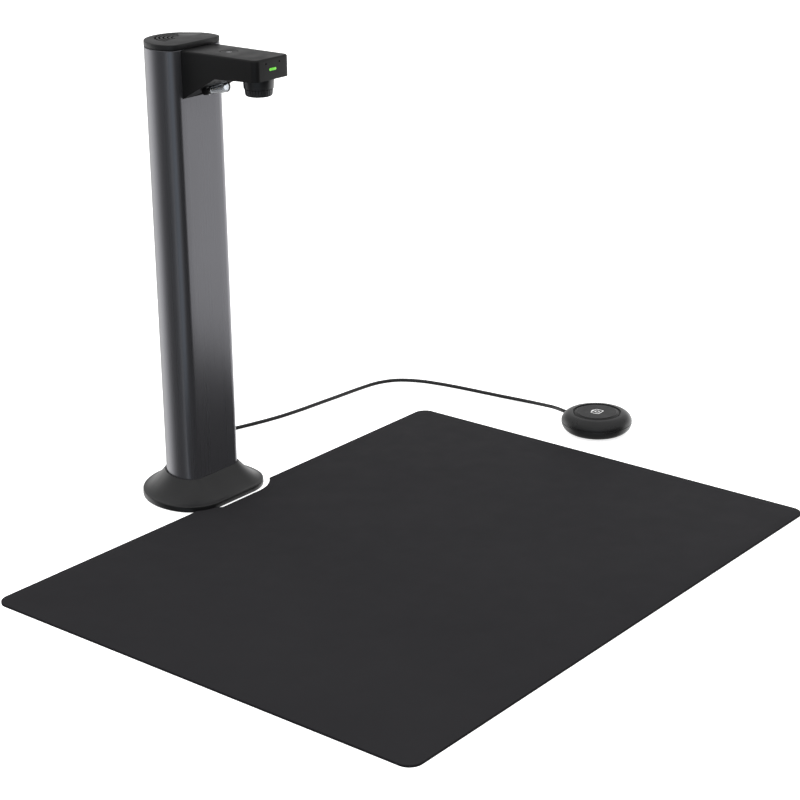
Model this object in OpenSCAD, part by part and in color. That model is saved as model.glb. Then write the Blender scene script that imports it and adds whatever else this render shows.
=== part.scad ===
// Desktop document camera: a column on a weighted foot carries a camera head over a
// reading mat, and a hand button lies beside the mat on its cord.
// Millimetres, +Z up. The arm points along -Y and the user's right is +X.
// The origin is the centre of the foot's footprint on the desk.

/* [Column] */
// Height of the column's top edge above the desk
column_top = 348; // [330:1:370]
// Radius of the column's rounded back
column_back_r = 28.5; // [28:0.1:29]
// Radius of the column's two front corners
column_corner_r = 8; // [7.5:0.1:8.5]
// Wall thickness of the column extrusion
column_wall = 2; // [1.8:0.1:2.2]

/* [Foot] */
// Radius of the foot's rounded back
foot_back_r = 48.1; // [47:0.1:49]
// Radius of the foot's two front corners
foot_corner_r = 28; // [27:0.1:28.5]
// Height of the foot's collar above the desk
foot_top = 19.5; // [18.5:0.1:20.5]

/* [Camera head] */
// Width of the arm
arm_w = 36; // [35:0.1:37]
// Distance from the origin to the arm's front face
arm_reach = 93.6; // [92.8:0.1:95]
// Height of the arm at its front face
arm_h = 15.3; // [15:0.1:15.8]
// Depth of the arm where it meets the column
arm_root_h = 35; // [34:0.1:35.5]
// Distance from the origin to the lens axis
lens_reach = 79.5; // [79.3:0.1:79.7]
// Diameter of the lens housing
lens_d = 21.6; // [21:0.1:22]
// Diameter of the round push button on the arm
head_button_d = 13; // [12:0.1:13.4]
// Diameter of the lamp's clear cover at its wide end
lamp_d = 9; // [8.6:0.1:9.2]

/* [Reading mat] */
// Width of the mat
mat_w = 477; // [430:1:500]
// Depth of the mat
mat_depth = 367; // [330:1:400]
// Radius of the mat's corners
mat_corner_r = 10; // [6:1:25]
// Thickness of the mat
mat_t = 2; // [1.5:0.1:3]

/* [Hand button] */
// Diameter of the hand button's body
puck_d = 58.8; // [58.4:0.1:60]
// Height of the hand button's body
puck_h = 17.4; // [17.2:0.1:18]
// Diameter of the disc that is pressed
puck_button_d = 38; // [37.4:0.1:38.2]
// Diameter of the hand button's cord
cord_d = 3.1; // [2.6:0.1:3.2]

/* [Hidden] */

$fn = 96;
gap = 0.3;              // clearance between curved faces of neighbouring pieces
run = 0.05;             // radial clearance of a turning fit
far = 200;              // longer than any wedge that trims a circle

// Colours
dark_plastic = [0.11, 0.11, 0.12];
black_plastic = [0.06, 0.06, 0.065];
gunmetal = [0.30, 0.31, 0.33];
rubber_black = [0.05, 0.05, 0.05];
steel_grey = [0.6, 0.6, 0.62];
board_green = [0.05, 0.3, 0.14];

// Column outline: [back radius, corner radius, y of the back's centre, y of the front]
column_d = [column_back_r, column_corner_r, -6.5, -21.5];
// Foot outline, in the same form
foot_d = [foot_back_r, foot_corner_r, -7.5, -41.7];
foot_hollow = 1.5;                   // how hollow the sweep up to the collar is, 1 for straight

// Foot, from the desk up
pad_t = 1.5;
foot_bottom = 0.3;      // the cover stops short of the desk, which the pad stands on
ballast_low = 4.6;      // top of the wide ballast plate
ballast_top = 7.4;      // top of the ballast's raised middle
ballast_inset = 12;     // of the raised middle, from the foot's outline
rim_h = 5.2;            // height of the foot's upright rim
column_bottom = ballast_top + 0.2;

// Extruded screw channels inside the column
port_r = 3.5;
port_hole_r = 1.6;
screw_r = 1.5;
front_port_at = [d_corner_x(column_d) + 2.4, column_d[3] + column_corner_r - 2.4];
rear_port_angle = 40;
rear_port_at = [0, column_d[2]] + (column_back_r - 4.5) * [cos(rear_port_angle), sin(rear_port_angle)];
ports = [for (side = [-1, 1], at = [front_port_at, rear_port_at]) [side * at[0], at[1]]];
flange_holes = [[-8, -3], [8, -3]];

// Chassis and boards inside the column
chassis_w = 27;
chassis_front = 8;      // front face of the chassis plate
chassis_t = 1.5;
chassis_top = 300;
board_t = 1.6;
standoff_l = 3.4;
main_board_z = [50, 170];
main_board_w = 36;
standoffs = [for (x = [-11, 11], z = [56, 164]) [x, z]];

// Ports at the column's back
port_window_w = 28;
port_window_z = [24, 46];
port_flange_y = [13.5, 15.5];
usb_at = [-5, 36];
usb_size = [9, 3.3];
jack_at = [9, 34];
jack_r = 3.4;
jack_bore_r = 1.8;
plug_y = [22.2, 30.5];
plug_r = 3.8;
relief_end_y = 38;

// Cap
cap_gap = 0.7;          // shadow line between the column and the cap
cap_top = column_top + 3.6;
slot_centre = [3, -0.5]; // the sound slots are arcs about this point
slot_radii = [6 : 3 : 18];
slot_w = 1.4;
slot_half_angle = 70;
slot_direction = 120;
speaker_at = [-5, 6];
dish_at = [19.3, 6];    // shallow round dish at the cap's back right edge
dish_r = 9.3;
dish_ball_r = 110;

// Arm, in [y, z]
arm_back_y = column_d[3];
arm_wall = 2;
arm_corner_r = 4;
arm_bottom = column_top - arm_h;
knee = [-54, arm_bottom - 1.7];
slope_root_z = column_top - arm_root_h;
slope_angle = atan2(knee[1] - slope_root_z, arm_back_y - knee[0]);
under_t = 2.2;          // thickness of the underside, measured upright
bracket_z = arm_bottom + 1.5;
bracket_t = 1.6;
bracket_w = 22;
bracket_leg_bottom = 230;
bracket_screws_z = [245, 285];
arm_screws_at = [[-8, -60], [8, -60]];
mic_x = 6.9;
light_z = column_top - 8;
light_w = 7.4;
light_h = 2;

// Head boards and push button
head_board_z = column_top - 9;
head_board_y = [-64, -26];
button_at = [0, -52];
button_flange_r = head_button_d / 2 + 1.1;
button_travel = 0.4;

// Lens, from the ring up
lens_y = -lens_reach;
ring_z = [column_top - 28.4, column_top - 23.2];
housing_z = [column_top - 23, column_top - 12];
tower_top = column_top - 7;
cell_r = 7.95;
glass_r = 6.1;
rib_count = 30;
rib_groove_r = 0.55;

// Lamp, a clear tapered cover along X under the sloping part of the arm
lamp_axis = [-36, column_top - 28.8];
lamp_x = [-10.5, -7, 11.5];         // socket's two ends, then where the cover's dome starts
lamp_r = [2.9, 3.1, lamp_d / 2];    // the lamp's radius at those places
lamp_dome = 3;
lamp_wall = 1;
lamp_bore_r = lamp_r[1] - lamp_wall;
lamp_end_t = 0.8;                   // the socket's closed end
lamp_gap = 0.6;                     // between the lamp and its trough
lamp_stem = [[-2, 0], [2, 8]];      // [y, z] of the socket's stem, from the lamp's axis
lamp_stem_end = lamp_x[1] - 0.7;

// Mat; its notch leaves a gap before the foot, and on the left it fits closely round it
mat_at = [3, -401 + mat_depth / 2];
notch_r = 34;
notch_x = [-18.5, 20];              // ends of the notch's straight part
notch_left_r = 4;
notch_y = foot_d[3] - 3.6;
notch_fit = 0.5;

// Hand button, a body of revolution
puck_at = [290.1, -180.2];
puck_rest_r = 19.5;
puck_rim_z = 10;
puck_base_z = 0.8;
puck_flat_r = 20.7;
puck_wall = 2;
puck_r = puck_d / 2;
puck_button_r = puck_button_d / 2;
puck_travel = 1.6;
puck_posts = [for (a = [30, 150, 270]) 24 * [cos(a), sin(a)]];
puck_lip_z = puck_h - 1.9;          // underside of the lip that keeps the disc in
puck_groove_r = puck_button_r + 1.1;
puck_bevel = [3.6, 1.1];            // width and height of the disc's bevelled edge
puck_proud = 0.3;
gland_z = 7.6;
gland_end = [296, -149];
gland_angle = atan2(gland_end[1] - puck_at[1], gland_end[0] - puck_at[0]);
gland_out = norm(gland_end - puck_at);
spring_z = [4.6, puck_lip_z - 2.1];
spring_r = 6.5;

// Route of the hand button's cord, from the plug at the column to the hand button
cord_route = [
    [9, 38, 34], [9, 41, 34], [11.4, 43.8, 33.2], [15, 47.3, 30.6], [20, 50.6, 26.5],
    [27, 54.8, 20], [36, 59.5, 12], [47, 64, 5.5], [60, 67.3, 2], [76, 69, 1.6], [95, 67.5, 1.6],
    [114, 62, 1.6], [133, 56.5, 1.6], [153, 52, 1.6], [175, 49, 1.6], [199, 47, 1.6],
    [223, 45, 1.6], [249, 43, 1.6], [270, 39.5, 1.6], [286, 30, 1.6], [296, 13, 1.6],
    [301, -6, 1.6], [304, -26, 1.6], [306, -46, 1.6], [308, -67, 1.6], [309, -88, 2.2],
    [307.5, -108, 3.6], [303, -128, 6], [297.2, -142.2, 7.6], [296, -149, 7.6]
];
cord_sides = 8;
cord_step = 2.5 * cord_d;

// ---- Shared shapes ----

// X of the centre of a D outline's corners
function d_corner_x(d) = sqrt(pow(d[0] - d[1], 2) - pow(d[3] + d[1] - d[2], 2));

// A quarter disc in the first quadrant
module quarter(r) {
    intersection() {
        circle(r = r);
        square(r);
    }
}

// Points round a D outline: a round back, a flat front and two round front corners,
// counter-clockwise from the front right and moved in by inset
function d_points(d, inset = 0, corner_steps = 8, back_steps = 44) =
    let (cx = d_corner_x(d), cy = d[3] + d[1], meet = atan2(cy - d[2], cx))
    let (r = d[1] - inset, back_r = d[0] - inset)
    concat(
        [for (i = [0 : corner_steps - 1]) let (a = -90 + (meet + 90) * i / corner_steps)
            [cx + r * cos(a), cy + r * sin(a)]],
        [for (i = [0 : back_steps]) let (a = meet + (180 - 2 * meet) * i / back_steps)
            [back_r * cos(a), d[2] + back_r * sin(a)]],
        [for (i = [1 : corner_steps]) let (a = 180 - meet + (meet + 90) * i / corner_steps)
            [-cx + r * cos(a), cy + r * sin(a)]]
    );

module d_plate(d, z0, z1, inset = 0) {
    translate([0, 0, z0]) linear_extrude(z1 - z0) polygon(d_points(d, inset));
}

// A closed skin through rings of equally many points
module skin(rings) {
    n = len(rings[0]);
    last = len(rings) - 1;
    sides = [for (k = [0 : last - 1], i = [0 : n - 1]) let (j = (i + 1) % n)
        each [[k * n + i, (k + 1) * n + j, k * n + j], [k * n + i, (k + 1) * n + i, (k + 1) * n + j]]];
    caps = [[for (i = [0 : n - 1]) i], [for (i = [n - 1 : -1 : 0]) last * n + i]];
    polyhedron(points = [for (r = rings) each r], faces = concat(sides, caps), convexity = 4);
}

// A block between two corners
module block(low, high) {
    translate(low) cube(high - low);
}

// A [y, z] outline extruded along X between two places
module along_x(x0, x1) {
    translate([x0, 0, 0]) rotate([90, 0, 90]) linear_extrude(x1 - x0) children();
}

// A cylinder along +Y between two places
module y_cylinder(x, z, y0, y1, r, r_end = undef) {
    translate([x, y0, z]) rotate([-90, 0, 0])
        cylinder(h = y1 - y0, r1 = r, r2 = is_undef(r_end) ? r : r_end);
}

// A flat-headed screw standing upright on its head
module screw(head_r, head_h, shank_r, length) {
    cylinder(h = head_h, r = head_r);
    cylinder(h = length, r = shank_r);
}

// ---- Foot ----

// Foot outline blended towards the column's, from 0 at the rim to 1 at the collar
function foot_blend(s) = foot_d + s * (column_d + [1.2, 1.2, 0, -1.2] - foot_d);

function foot_ring(d, z, inset = 0) = [for (p = d_points(d, inset, 6, 24)) [p[0], p[1], z]];

// The outside of the foot: upright rim, then a hollow sweep up to the collar
module foot_skin() {
    sweep_steps = 9;
    rim = [
        foot_ring(foot_d, foot_bottom, 0.8),
        foot_ring(foot_d, foot_bottom + 0.8),
        foot_ring(foot_d, rim_h - 1),
        foot_ring(foot_d, rim_h - 0.3, 0.3),
        foot_ring(foot_d, rim_h, 1)
    ];
    start = 0.06;
    sweep = [for (i = [1 : sweep_steps]) let (s = i / sweep_steps)
        foot_ring(foot_blend(start + (1 - start) * s), rim_h + (foot_top - rim_h) * pow(s, foot_hollow))];
    skin(concat(rim, sweep));
}

module foot_cover() {
    color(dark_plastic) difference() {
        foot_skin();
        d_plate(foot_d, -1, ballast_low + 0.1, 2.5);
        d_plate(foot_d, 0, ballast_top + 0.1, ballast_inset - 0.2);
        d_plate(column_d, 1, foot_top + 1, -gap);
    }
}

module foot_ballast() {
    color(steel_grey) difference() {
        union() {
            d_plate(foot_d, pad_t, ballast_low, 3);
            d_plate(foot_d, pad_t + 1, ballast_top, ballast_inset);
        }
        for (at = concat(ports, flange_holes)) translate(at) {
            translate([0, 0, -1]) cylinder(h = 20, r = screw_r + 0.2);
            translate([0, 0, -1]) cylinder(h = pad_t + 3, r = 3.4);
        }
    }
}

module foot_pad() {
    color(rubber_black) d_plate(foot_d, 0, pad_t, 3.2);
}

module foot_screws() {
    color(steel_grey) for (at = concat(ports, flange_holes))
        translate([at[0], at[1], pad_t + 0.1]) screw(3.1, 1.8, screw_r, 13);
}

// ---- Column ----

module column_section() {
    difference() {
        polygon(d_points(column_d));
        difference() {
            polygon(d_points(column_d, column_wall));
            for (at = ports) translate(at) circle(r = port_r);
        }
        for (at = ports) translate(at) circle(r = port_hole_r);
    }
}

module column_shell() {
    color(gunmetal) difference() {
        translate([0, 0, column_bottom]) linear_extrude(column_top - column_bottom) column_section();
        block([-14, -23, slope_root_z + 3], [14, -18, column_top + 1]);
        block([-port_window_w / 2, 12, port_window_z[0]], [port_window_w / 2, 24, port_window_z[1]]);
    }
}

// The steel spine that carries the boards and, at its top, the arm's bracket
module chassis_plate() {
    half = chassis_w / 2;
    color(steel_grey) difference() {
        union() {
            block([-half, chassis_front, column_bottom], [half, chassis_front + chassis_t, chassis_top]);
            block([-half, -7, column_bottom], [half, chassis_front + 1, column_bottom + chassis_t]);
        }
        for (at = flange_holes) translate([at[0], at[1], 0]) cylinder(h = 20, r = screw_r + 0.05);
        for (z = bracket_screws_z) y_cylinder(0, z, 0, 20, screw_r + 0.05);
    }
}

module board_standoffs() {
    color("goldenrod") for (at = standoffs)
        y_cylinder(at[0], at[1], chassis_front - standoff_l, chassis_front, 2.4);
}

module main_board() {
    back = chassis_front - standoff_l;
    front = back - board_t;
    color(board_green) {
        block([-main_board_w / 2, front, main_board_z[0]], [main_board_w / 2, back, main_board_z[1]]);
        block([-8, front - 1.6, 100], [8, front, 116]);
        block([-6, front - 1.2, 124], [6, front, 132]);
        block([-5, front - 1.2, 82], [7, front, 92]);
        block([-6, front - 2.6, 160], [6, front, 166]);
        for (x = [-14, 13]) translate([x, front, 70]) rotate([90, 0, 0]) cylinder(h = 6, r = 3);
    }
}

// Flat cable from the main board up to the head
module ribbon_cable() {
    y = -4;
    color("ivory") {
        block([-5, y, 163.5], [5, y + 0.4, head_board_z - 0.6]);
        block([-5, y, 163], [5, chassis_front - standoff_l - board_t - 2.7, 163.5]);
        block([-5, head_board_y[1] - 6, head_board_z - 0.6], [5, y + 0.4, head_board_z - 0.2]);
    }
}

// ---- Ports at the back ----

module port_panel() {
    half = port_window_w / 2;
    color(black_plastic) difference() {
        union() {
            intersection() {
                d_plate(column_d, port_window_z[0] + 0.2, port_window_z[1] - 0.2, gap);
                block([0.2 - half, port_flange_y[1] - 0.5, 0], [half - 0.2, 30, 100]);
            }
            block(
                [-14.2, port_flange_y[0], port_window_z[0] - 1.5],
                [14.2, port_flange_y[1], port_window_z[1] + 1.5]
            );
        }
        block(
            [usb_at[0] - usb_size[0] / 2 - 0.2, 10, usb_at[1] - usb_size[1] / 2 - 0.2],
            [usb_at[0] + usb_size[0] / 2 + 0.2, 30, usb_at[1] + usb_size[1] / 2 + 0.2]
        );
        y_cylinder(jack_at[0], jack_at[1], 10, 30, jack_r + 0.2);
    }
}

module port_board() {
    color(board_green) block([-12, chassis_front + chassis_t + 0.2, 26], [12, 10.8, 44]);
}

// Metal shell of the data and power inlet, with its tongue
module usb_socket() {
    half = usb_size / 2;
    color(steel_grey) {
        difference() {
            block(
                [usb_at[0] - half[0], 10.8, usb_at[1] - half[1]],
                [usb_at[0] + half[0], 20.5, usb_at[1] + half[1]]
            );
            block(
                [usb_at[0] - half[0] + 0.35, 12, usb_at[1] - half[1] + 0.35],
                [usb_at[0] + half[0] - 0.35, 24, usb_at[1] + half[1] - 0.35]
            );
        }
        block([usb_at[0] - 3.2, 11, usb_at[1] - 0.35], [usb_at[0] + 3.2, 19, usb_at[1] + 0.35]);
    }
}

module remote_socket() {
    color(black_plastic) difference() {
        y_cylinder(jack_at[0], jack_at[1], 10.8, 20, jack_r);
        y_cylinder(jack_at[0], jack_at[1], 11.6, 21, jack_bore_r);
    }
}

module remote_plug() {
    color(black_plastic) {
        y_cylinder(jack_at[0], jack_at[1], 13, plug_y[0] + 1, jack_bore_r - 0.1);
        y_cylinder(jack_at[0], jack_at[1], plug_y[0], plug_y[1] - 1, plug_r);
        y_cylinder(jack_at[0], jack_at[1], plug_y[1] - 1, plug_y[1], plug_r, plug_r - 1);
    }
}

module plug_relief() {
    color(rubber_black) y_cylinder(jack_at[0], jack_at[1], plug_y[1], relief_end_y, 2.6, 1.7);
}

// ---- Cap and speaker ----

// One curved sound slot
module sound_slot(r) {
    translate(slot_centre) rotate(slot_direction) intersection() {
        difference() {
            circle(r = r + slot_w / 2);
            circle(r = r - slot_w / 2);
        }
        polygon([[0, 0], far * [cos(slot_half_angle), -sin(slot_half_angle)],
            far * [cos(slot_half_angle), sin(slot_half_angle)]]);
    }
}

module top_cap() {
    color(black_plastic) difference() {
        union() {
            d_plate(column_d, column_top + cap_gap, cap_top);
            d_plate(column_d, column_top, column_top + cap_gap + 0.2, 1.2);
            for (at = ports) translate([at[0], at[1], column_top - 6]) cylinder(h = 7, r = port_hole_r - 0.1);
        }
        translate([0, 0, column_top - 1]) linear_extrude(6) for (r = slot_radii) sound_slot(r);
        translate([dish_at[0], dish_at[1], cap_top + sqrt(pow(dish_ball_r, 2) - pow(dish_r, 2))])
            sphere(r = dish_ball_r);
    }
}

module speaker() {
    translate([speaker_at[0], speaker_at[1], 0]) color("dimgray") {
        translate([0, 0, column_top - 4]) cylinder(h = 4, r = 7.2);
        translate([0, 0, column_top - 7]) cylinder(h = 3, r = 4.5);
    }
}

// ---- Arm ----

// Arm seen from the side, in [y, z]; inset moves the front and the top in
module arm_side(inset = 0, drop = 0) {
    polygon([
        [arm_back_y, column_top - inset], [inset - arm_reach, column_top - inset],
        [inset - arm_reach, arm_bottom - drop], [knee[0], knee[1] - drop], [arm_back_y, slope_root_z - drop]
    ]);
}

// Arm seen from above, with round front corners
module arm_plan(inset = 0) {
    half = arm_w / 2 - inset;
    front = inset - arm_reach;
    r = arm_corner_r - inset;
    translate([-half, front + r]) square([2 * half, arm_back_y - front - r]);
    translate([r - half, front]) square([2 * (half - r), r]);
    for (side = [0, 1]) mirror([side, 0]) translate([half - r, front + r]) mirror([0, 1]) quarter(r);
}

module arm_column(inset = 0) {
    translate([0, 0, slope_root_z - 20]) linear_extrude(arm_root_h + 30) arm_plan(inset);
}

module arm_shell() {
    color(black_plastic) difference() {
        union() {
            difference() {
                intersection() {
                    along_x(-arm_w / 2, arm_w / 2) arm_side();
                    arm_column();
                }
                intersection() {
                    along_x(-arm_w / 2, arm_w / 2)
                        polygon([
                            [arm_back_y + 1, column_top - arm_wall], [-far, column_top - arm_wall],
                            [-far, slope_root_z - 9], [arm_back_y + 1, slope_root_z - 9]
                        ]);
                    translate([0, 0, slope_root_z - 20]) linear_extrude(arm_root_h + 30) {
                        arm_plan(arm_wall);
                        translate([arm_wall - arm_w / 2, arm_back_y - 1]) square([arm_w - 2 * arm_wall, 3]);
                    }
                }
            }
            for (x = [-11, 11], y = [-60, -30])
                translate([x, y, head_board_z + board_t]) cylinder(h = 6.4, r = 2);
        }
        translate([button_at[0], button_at[1], column_top - 4]) cylinder(h = 10, r = head_button_d / 2 + 0.25);
        for (x = [-mic_x, mic_x]) y_cylinder(x, column_top - 3.5, -arm_reach - 1, -arm_reach + 3, 0.5);
        block(
            [-light_w / 2 - 0.1, -arm_reach - 1, light_z - light_h / 2 - 0.1],
            [light_w / 2 + 0.1, -arm_reach + 3, light_z + light_h / 2 + 0.1]
        );
    }
}

// The strip of the arm's side view between its lower edge and the given height above it
module under_strip(height) {
    polygon([
        [arm_back_y - 0.1, slope_root_z], [knee[0], knee[1]], [-arm_reach, arm_bottom],
        [-arm_reach, arm_bottom + height], [knee[0], knee[1] + height],
        [arm_back_y - 0.1, slope_root_z + height]
    ]);
}

module arm_underside() {
    color(black_plastic) difference() {
        union() {
            intersection() {
                along_x(-arm_w / 2, arm_w / 2) under_strip(under_t);
                arm_column(arm_wall + 0.1);
            }
            intersection() {
                along_x(0.1 + arm_wall - arm_w / 2, arm_w / 2 - arm_wall - 0.1) under_strip(8);
                lamp_body(lamp_gap + 1.5);
            }
        }
        lamp_body(lamp_gap);
        translate([0, lamp_axis[0], lamp_axis[1]]) block(
            [lamp_x[0] - 0.2, lamp_stem[0][0] - 0.2, 0],
            [lamp_stem_end + 0.2, lamp_stem[1][0] + 0.2, 12]
        );
        translate([0, lens_y, 0]) cylinder(h = 400, r = lens_d / 2 + 0.8);
        for (at = arm_screws_at) translate([at[0], at[1], 0]) {
            cylinder(h = 400, r = 1.4);
            cylinder(h = arm_bottom + 0.3, r = 2.5);
        }
    }
}

// Steel strip from the chassis through the column's window into the arm
module arm_bracket() {
    half = bracket_w / 2;
    leg_y = chassis_front - bracket_t;
    color(steel_grey) difference() {
        union() {
            block([-half, -66, bracket_z], [half, chassis_front, bracket_z + bracket_t]);
            block([-half, leg_y, bracket_leg_bottom], [half, chassis_front, bracket_z + 1]);
        }
        for (at = arm_screws_at) translate([at[0], at[1], 0]) cylinder(h = 400, r = 1.25);
        for (z = bracket_screws_z) y_cylinder(0, z, 0, 20, screw_r + 0.2);
        block([-5.6, -4.6, bracket_z - 1], [5.6, -3, bracket_z + 3]);
    }
}

module bracket_screws() {
    color(steel_grey) for (z = bracket_screws_z) {
        y_cylinder(0, z, chassis_front - bracket_t - 1.8, chassis_front - bracket_t, 2.8);
        y_cylinder(0, z, chassis_front - bracket_t - 1, 11, screw_r);
    }
}

module arm_screws() {
    color(steel_grey) for (at = arm_screws_at)
        translate([at[0], at[1], arm_bottom - 1]) screw(2.2, 1.3, 1.2, 6.5);
}

module status_light() {
    color("limegreen") block(
        [-light_w / 2, -arm_reach, light_z - light_h / 2],
        [light_w / 2, -arm_reach + arm_wall + 0.4, light_z + light_h / 2]
    );
}

module head_board() {
    color(board_green) {
        block([-14, head_board_y[0], head_board_z], [14, head_board_y[1], head_board_z + board_t]);
        block([-6, -48, head_board_z - 1.2], [6, -38, head_board_z]);
    }
}

module head_switch() {
    base = head_board_z + board_t;
    color("dimgray") translate([button_at[0], button_at[1], base]) {
        translate([-3, -3, 0]) cube([6, 6, 1.6]);
        cylinder(h = 2.4, r = 1.4);
    }
}

// Round push button with a flange that keeps it in the arm
module head_button() {
    color(dark_plastic) translate([button_at[0], button_at[1], 0]) {
        translate([0, 0, column_top - 3]) cylinder(h = 3, r = head_button_d / 2);
        translate([0, 0, column_top - 3.3]) cylinder(h = 1.2, r = button_flange_r);
        translate([0, 0, head_board_z + board_t + 2.4 + button_travel + 0.1])
            cylinder(h = column_top - 3 - head_board_z - board_t - 2.5 - button_travel, r = 1.5);
    }
}

// ---- Camera ----

module camera_board() {
    color(board_green) block([-12, lens_y - 11, tower_top], [12, lens_y + 11, tower_top + 1.2]);
}

module image_sensor() {
    color("slategray") block([-4, lens_y - 3, tower_top - 1.4], [4, lens_y + 3, tower_top]);
}

module lens_housing() {
    color(black_plastic) translate([0, lens_y, 0]) difference() {
        union() {
            translate([0, 0, housing_z[0]])
                cylinder(h = housing_z[1] - housing_z[0], r1 = lens_d / 2, r2 = lens_d / 2 + 0.5);
            translate([0, 0, housing_z[1] - 1]) cylinder(h = 1, r = 11.9);
            block([-9, -9, housing_z[1] - 0.5], [9, 9, tower_top]);
        }
        translate([0, 0, housing_z[0] - 1]) cylinder(h = housing_z[1] + 3 - housing_z[0], r = cell_r + run);
        translate([0, 0, housing_z[0]]) cylinder(h = 30, r = 5.5);
    }
}

// Ribbed ring that is turned to focus
module focus_ring() {
    color(black_plastic) translate([0, lens_y, 0]) difference() {
        translate([0, 0, ring_z[0]]) rotate_extrude() polygon([
            [cell_r + run, 0], [8.6, 0], [9.4, 0.3], [9.8, 0.9],
            [lens_d / 2 - 0.5, ring_z[1] - ring_z[0]], [cell_r + run, ring_z[1] - ring_z[0]]
        ]);
        for (i = [0 : rib_count - 1]) rotate(360 * i / rib_count)
            translate([lens_d / 2 - 0.2, 0, ring_z[0] - 1]) cylinder(h = 5, r = rib_groove_r);
    }
}

module lens_cell() {
    color("dimgray") translate([0, lens_y, 0]) difference() {
        translate([0, 0, ring_z[0] + 0.6]) cylinder(h = housing_z[1] - ring_z[0] - 0.6, r = cell_r);
        translate([0, 0, ring_z[0]]) cylinder(h = 30, r = glass_r + run);
    }
}

// A round glass whose lower face bulges down
module glass(low, height, bulge_r) {
    color([0.6, 0.7, 0.85, 0.4]) translate([0, lens_y, 0]) intersection() {
        translate([0, 0, low]) cylinder(h = height, r = glass_r);
        translate([0, 0, low + bulge_r]) sphere(r = bulge_r);
    }
}

module front_lens() {
    glass(ring_z[0] + 1, 3.4, 12);
}

module rear_lens() {
    glass(ring_z[0] + 11, 2.6, 16);
}

// ---- Lamp ----

// The lamp's axis, with +Z turned to +X
module on_lamp(x) {
    translate([x, lamp_axis[0], lamp_axis[1]]) rotate([0, 90, 0]) children();
}

// The lamp's whole outside, from the socket to the end of the dome, made larger by extra
module lamp_body(extra) {
    neck = lamp_x[1] - lamp_x[0];
    wide = lamp_x[2] - lamp_x[0];
    on_lamp(lamp_x[0]) rotate_extrude() polygon([
        [0, -extra], [lamp_r[0] + extra, -extra], [lamp_r[1] + extra, neck], [lamp_r[2] + extra, wide],
        [lamp_r[2] + extra, wide + lamp_dome + extra], [0, wide + lamp_dome + extra]
    ]);
}

module lamp_socket() {
    color(black_plastic) difference() {
        union() {
            on_lamp(lamp_x[0]) cylinder(h = lamp_x[1] - lamp_x[0], r1 = lamp_r[0], r2 = lamp_r[1]);
            translate([0, lamp_axis[0], lamp_axis[1]]) block(
                [lamp_x[0], lamp_stem[0][0], lamp_stem[0][1]],
                [lamp_stem_end, lamp_stem[1][0], lamp_stem[1][1]]
            );
        }
        on_lamp(lamp_x[0] + lamp_end_t) cylinder(h = lamp_x[1] - lamp_x[0], r = lamp_bore_r);
    }
}

// Clear cover that widens to a domed end, turned about X
module lamp_tube() {
    taper = lamp_x[2] - lamp_x[1];
    neck = lamp_r[1];
    wide = lamp_r[2];
    color([0.85, 0.9, 0.95, 0.35]) on_lamp(lamp_x[1]) rotate_extrude() polygon(concat(
        [[0, taper], [wide - lamp_wall, taper], [lamp_bore_r, 0], [neck, 0]],
        [for (a = [0 : 15 : 90]) [wide * cos(a), taper + lamp_dome * sin(a)]]
    ));
}

module lamp_board() {
    color("white") translate([0, lamp_axis[0], lamp_axis[1]]) rotate([-slope_angle, 0, 0]) {
        block([lamp_x[0] + lamp_end_t, -1.5, 0.2], [9, 1.5, 1]);
        for (x = [-3.5 : 3.5 : 7]) block([x - 1.1, -1.1, -0.5], [x + 1.1, 1.1, 0.2]);
    }
}

// ---- Hand button ----

// Points on the body's lower curve and its upper curve, moved in by inset
function puck_lower(inset) = [for (t = [0 : 10 : 90])
    [puck_rest_r + (puck_r - puck_rest_r) * sin(t) - inset, puck_rim_z - (puck_rim_z - puck_base_z) * cos(t)]];
function puck_upper(inset) = [for (t = [0 : 10 : 90])
    [puck_flat_r + (puck_r - puck_flat_r) * cos(t) - inset, puck_rim_z + (puck_h - puck_rim_z) * sin(t)]];

module on_puck() {
    translate([puck_at[0], puck_at[1], 0]) children();
}

module puck_base() {
    color(dark_plastic) on_puck() difference() {
        union() {
            difference() {
                rotate_extrude() polygon(concat([[0, puck_base_z]], puck_lower(0), [[0, puck_rim_z]]));
                translate([0, 0, puck_wall]) rotate_extrude()
                    polygon(concat([[0, puck_base_z]], puck_lower(puck_wall), [[0, puck_rim_z]]));
            }
            for (at = puck_posts) translate([at[0], at[1], 3.5]) cylinder(h = 3.1, r = 2.2);
        }
        for (at = puck_posts) translate([at[0], at[1], 0]) {
            cylinder(h = 20, r = 1.2);
            cylinder(h = 4.4, r = 1.9);
        }
        translate([0, 0, gland_z]) rotate([0, 0, gland_angle]) rotate([0, 90, 0]) cylinder(h = 40, r = 2.3);
    }
}

module puck_cover() {
    color(dark_plastic) on_puck() difference() {
        union() {
            difference() {
                rotate_extrude() polygon(concat([[0, puck_rim_z]], puck_upper(0), [[0, puck_h]]));
                translate([0, 0, -0.01]) rotate_extrude() polygon([
                    [0, puck_rim_z], [puck_r - puck_wall, puck_rim_z],
                    [puck_r - puck_wall - 1, puck_rim_z + 3],
                    [puck_r - puck_wall - 3.4, puck_lip_z], [0, puck_lip_z]
                ]);
            }
            for (at = puck_posts) translate([at[0], at[1], 6.8]) cylinder(h = puck_lip_z - 6.6, r = 1.8);
        }
        translate([0, 0, puck_lip_z - 1]) cylinder(h = 5, r = puck_button_r + gap);
        translate([0, 0, puck_h - 0.9]) cylinder(h = 5, r = puck_groove_r);
        for (at = puck_posts) translate([at[0], at[1], 5]) cylinder(h = 7, r = 1.05);
    }
}

module puck_pad() {
    color(rubber_black) on_puck() difference() {
        cylinder(h = puck_base_z, r = puck_rest_r - 0.6);
        translate([0, 0, -1]) cylinder(h = 3, r = 9);
    }
}

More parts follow.
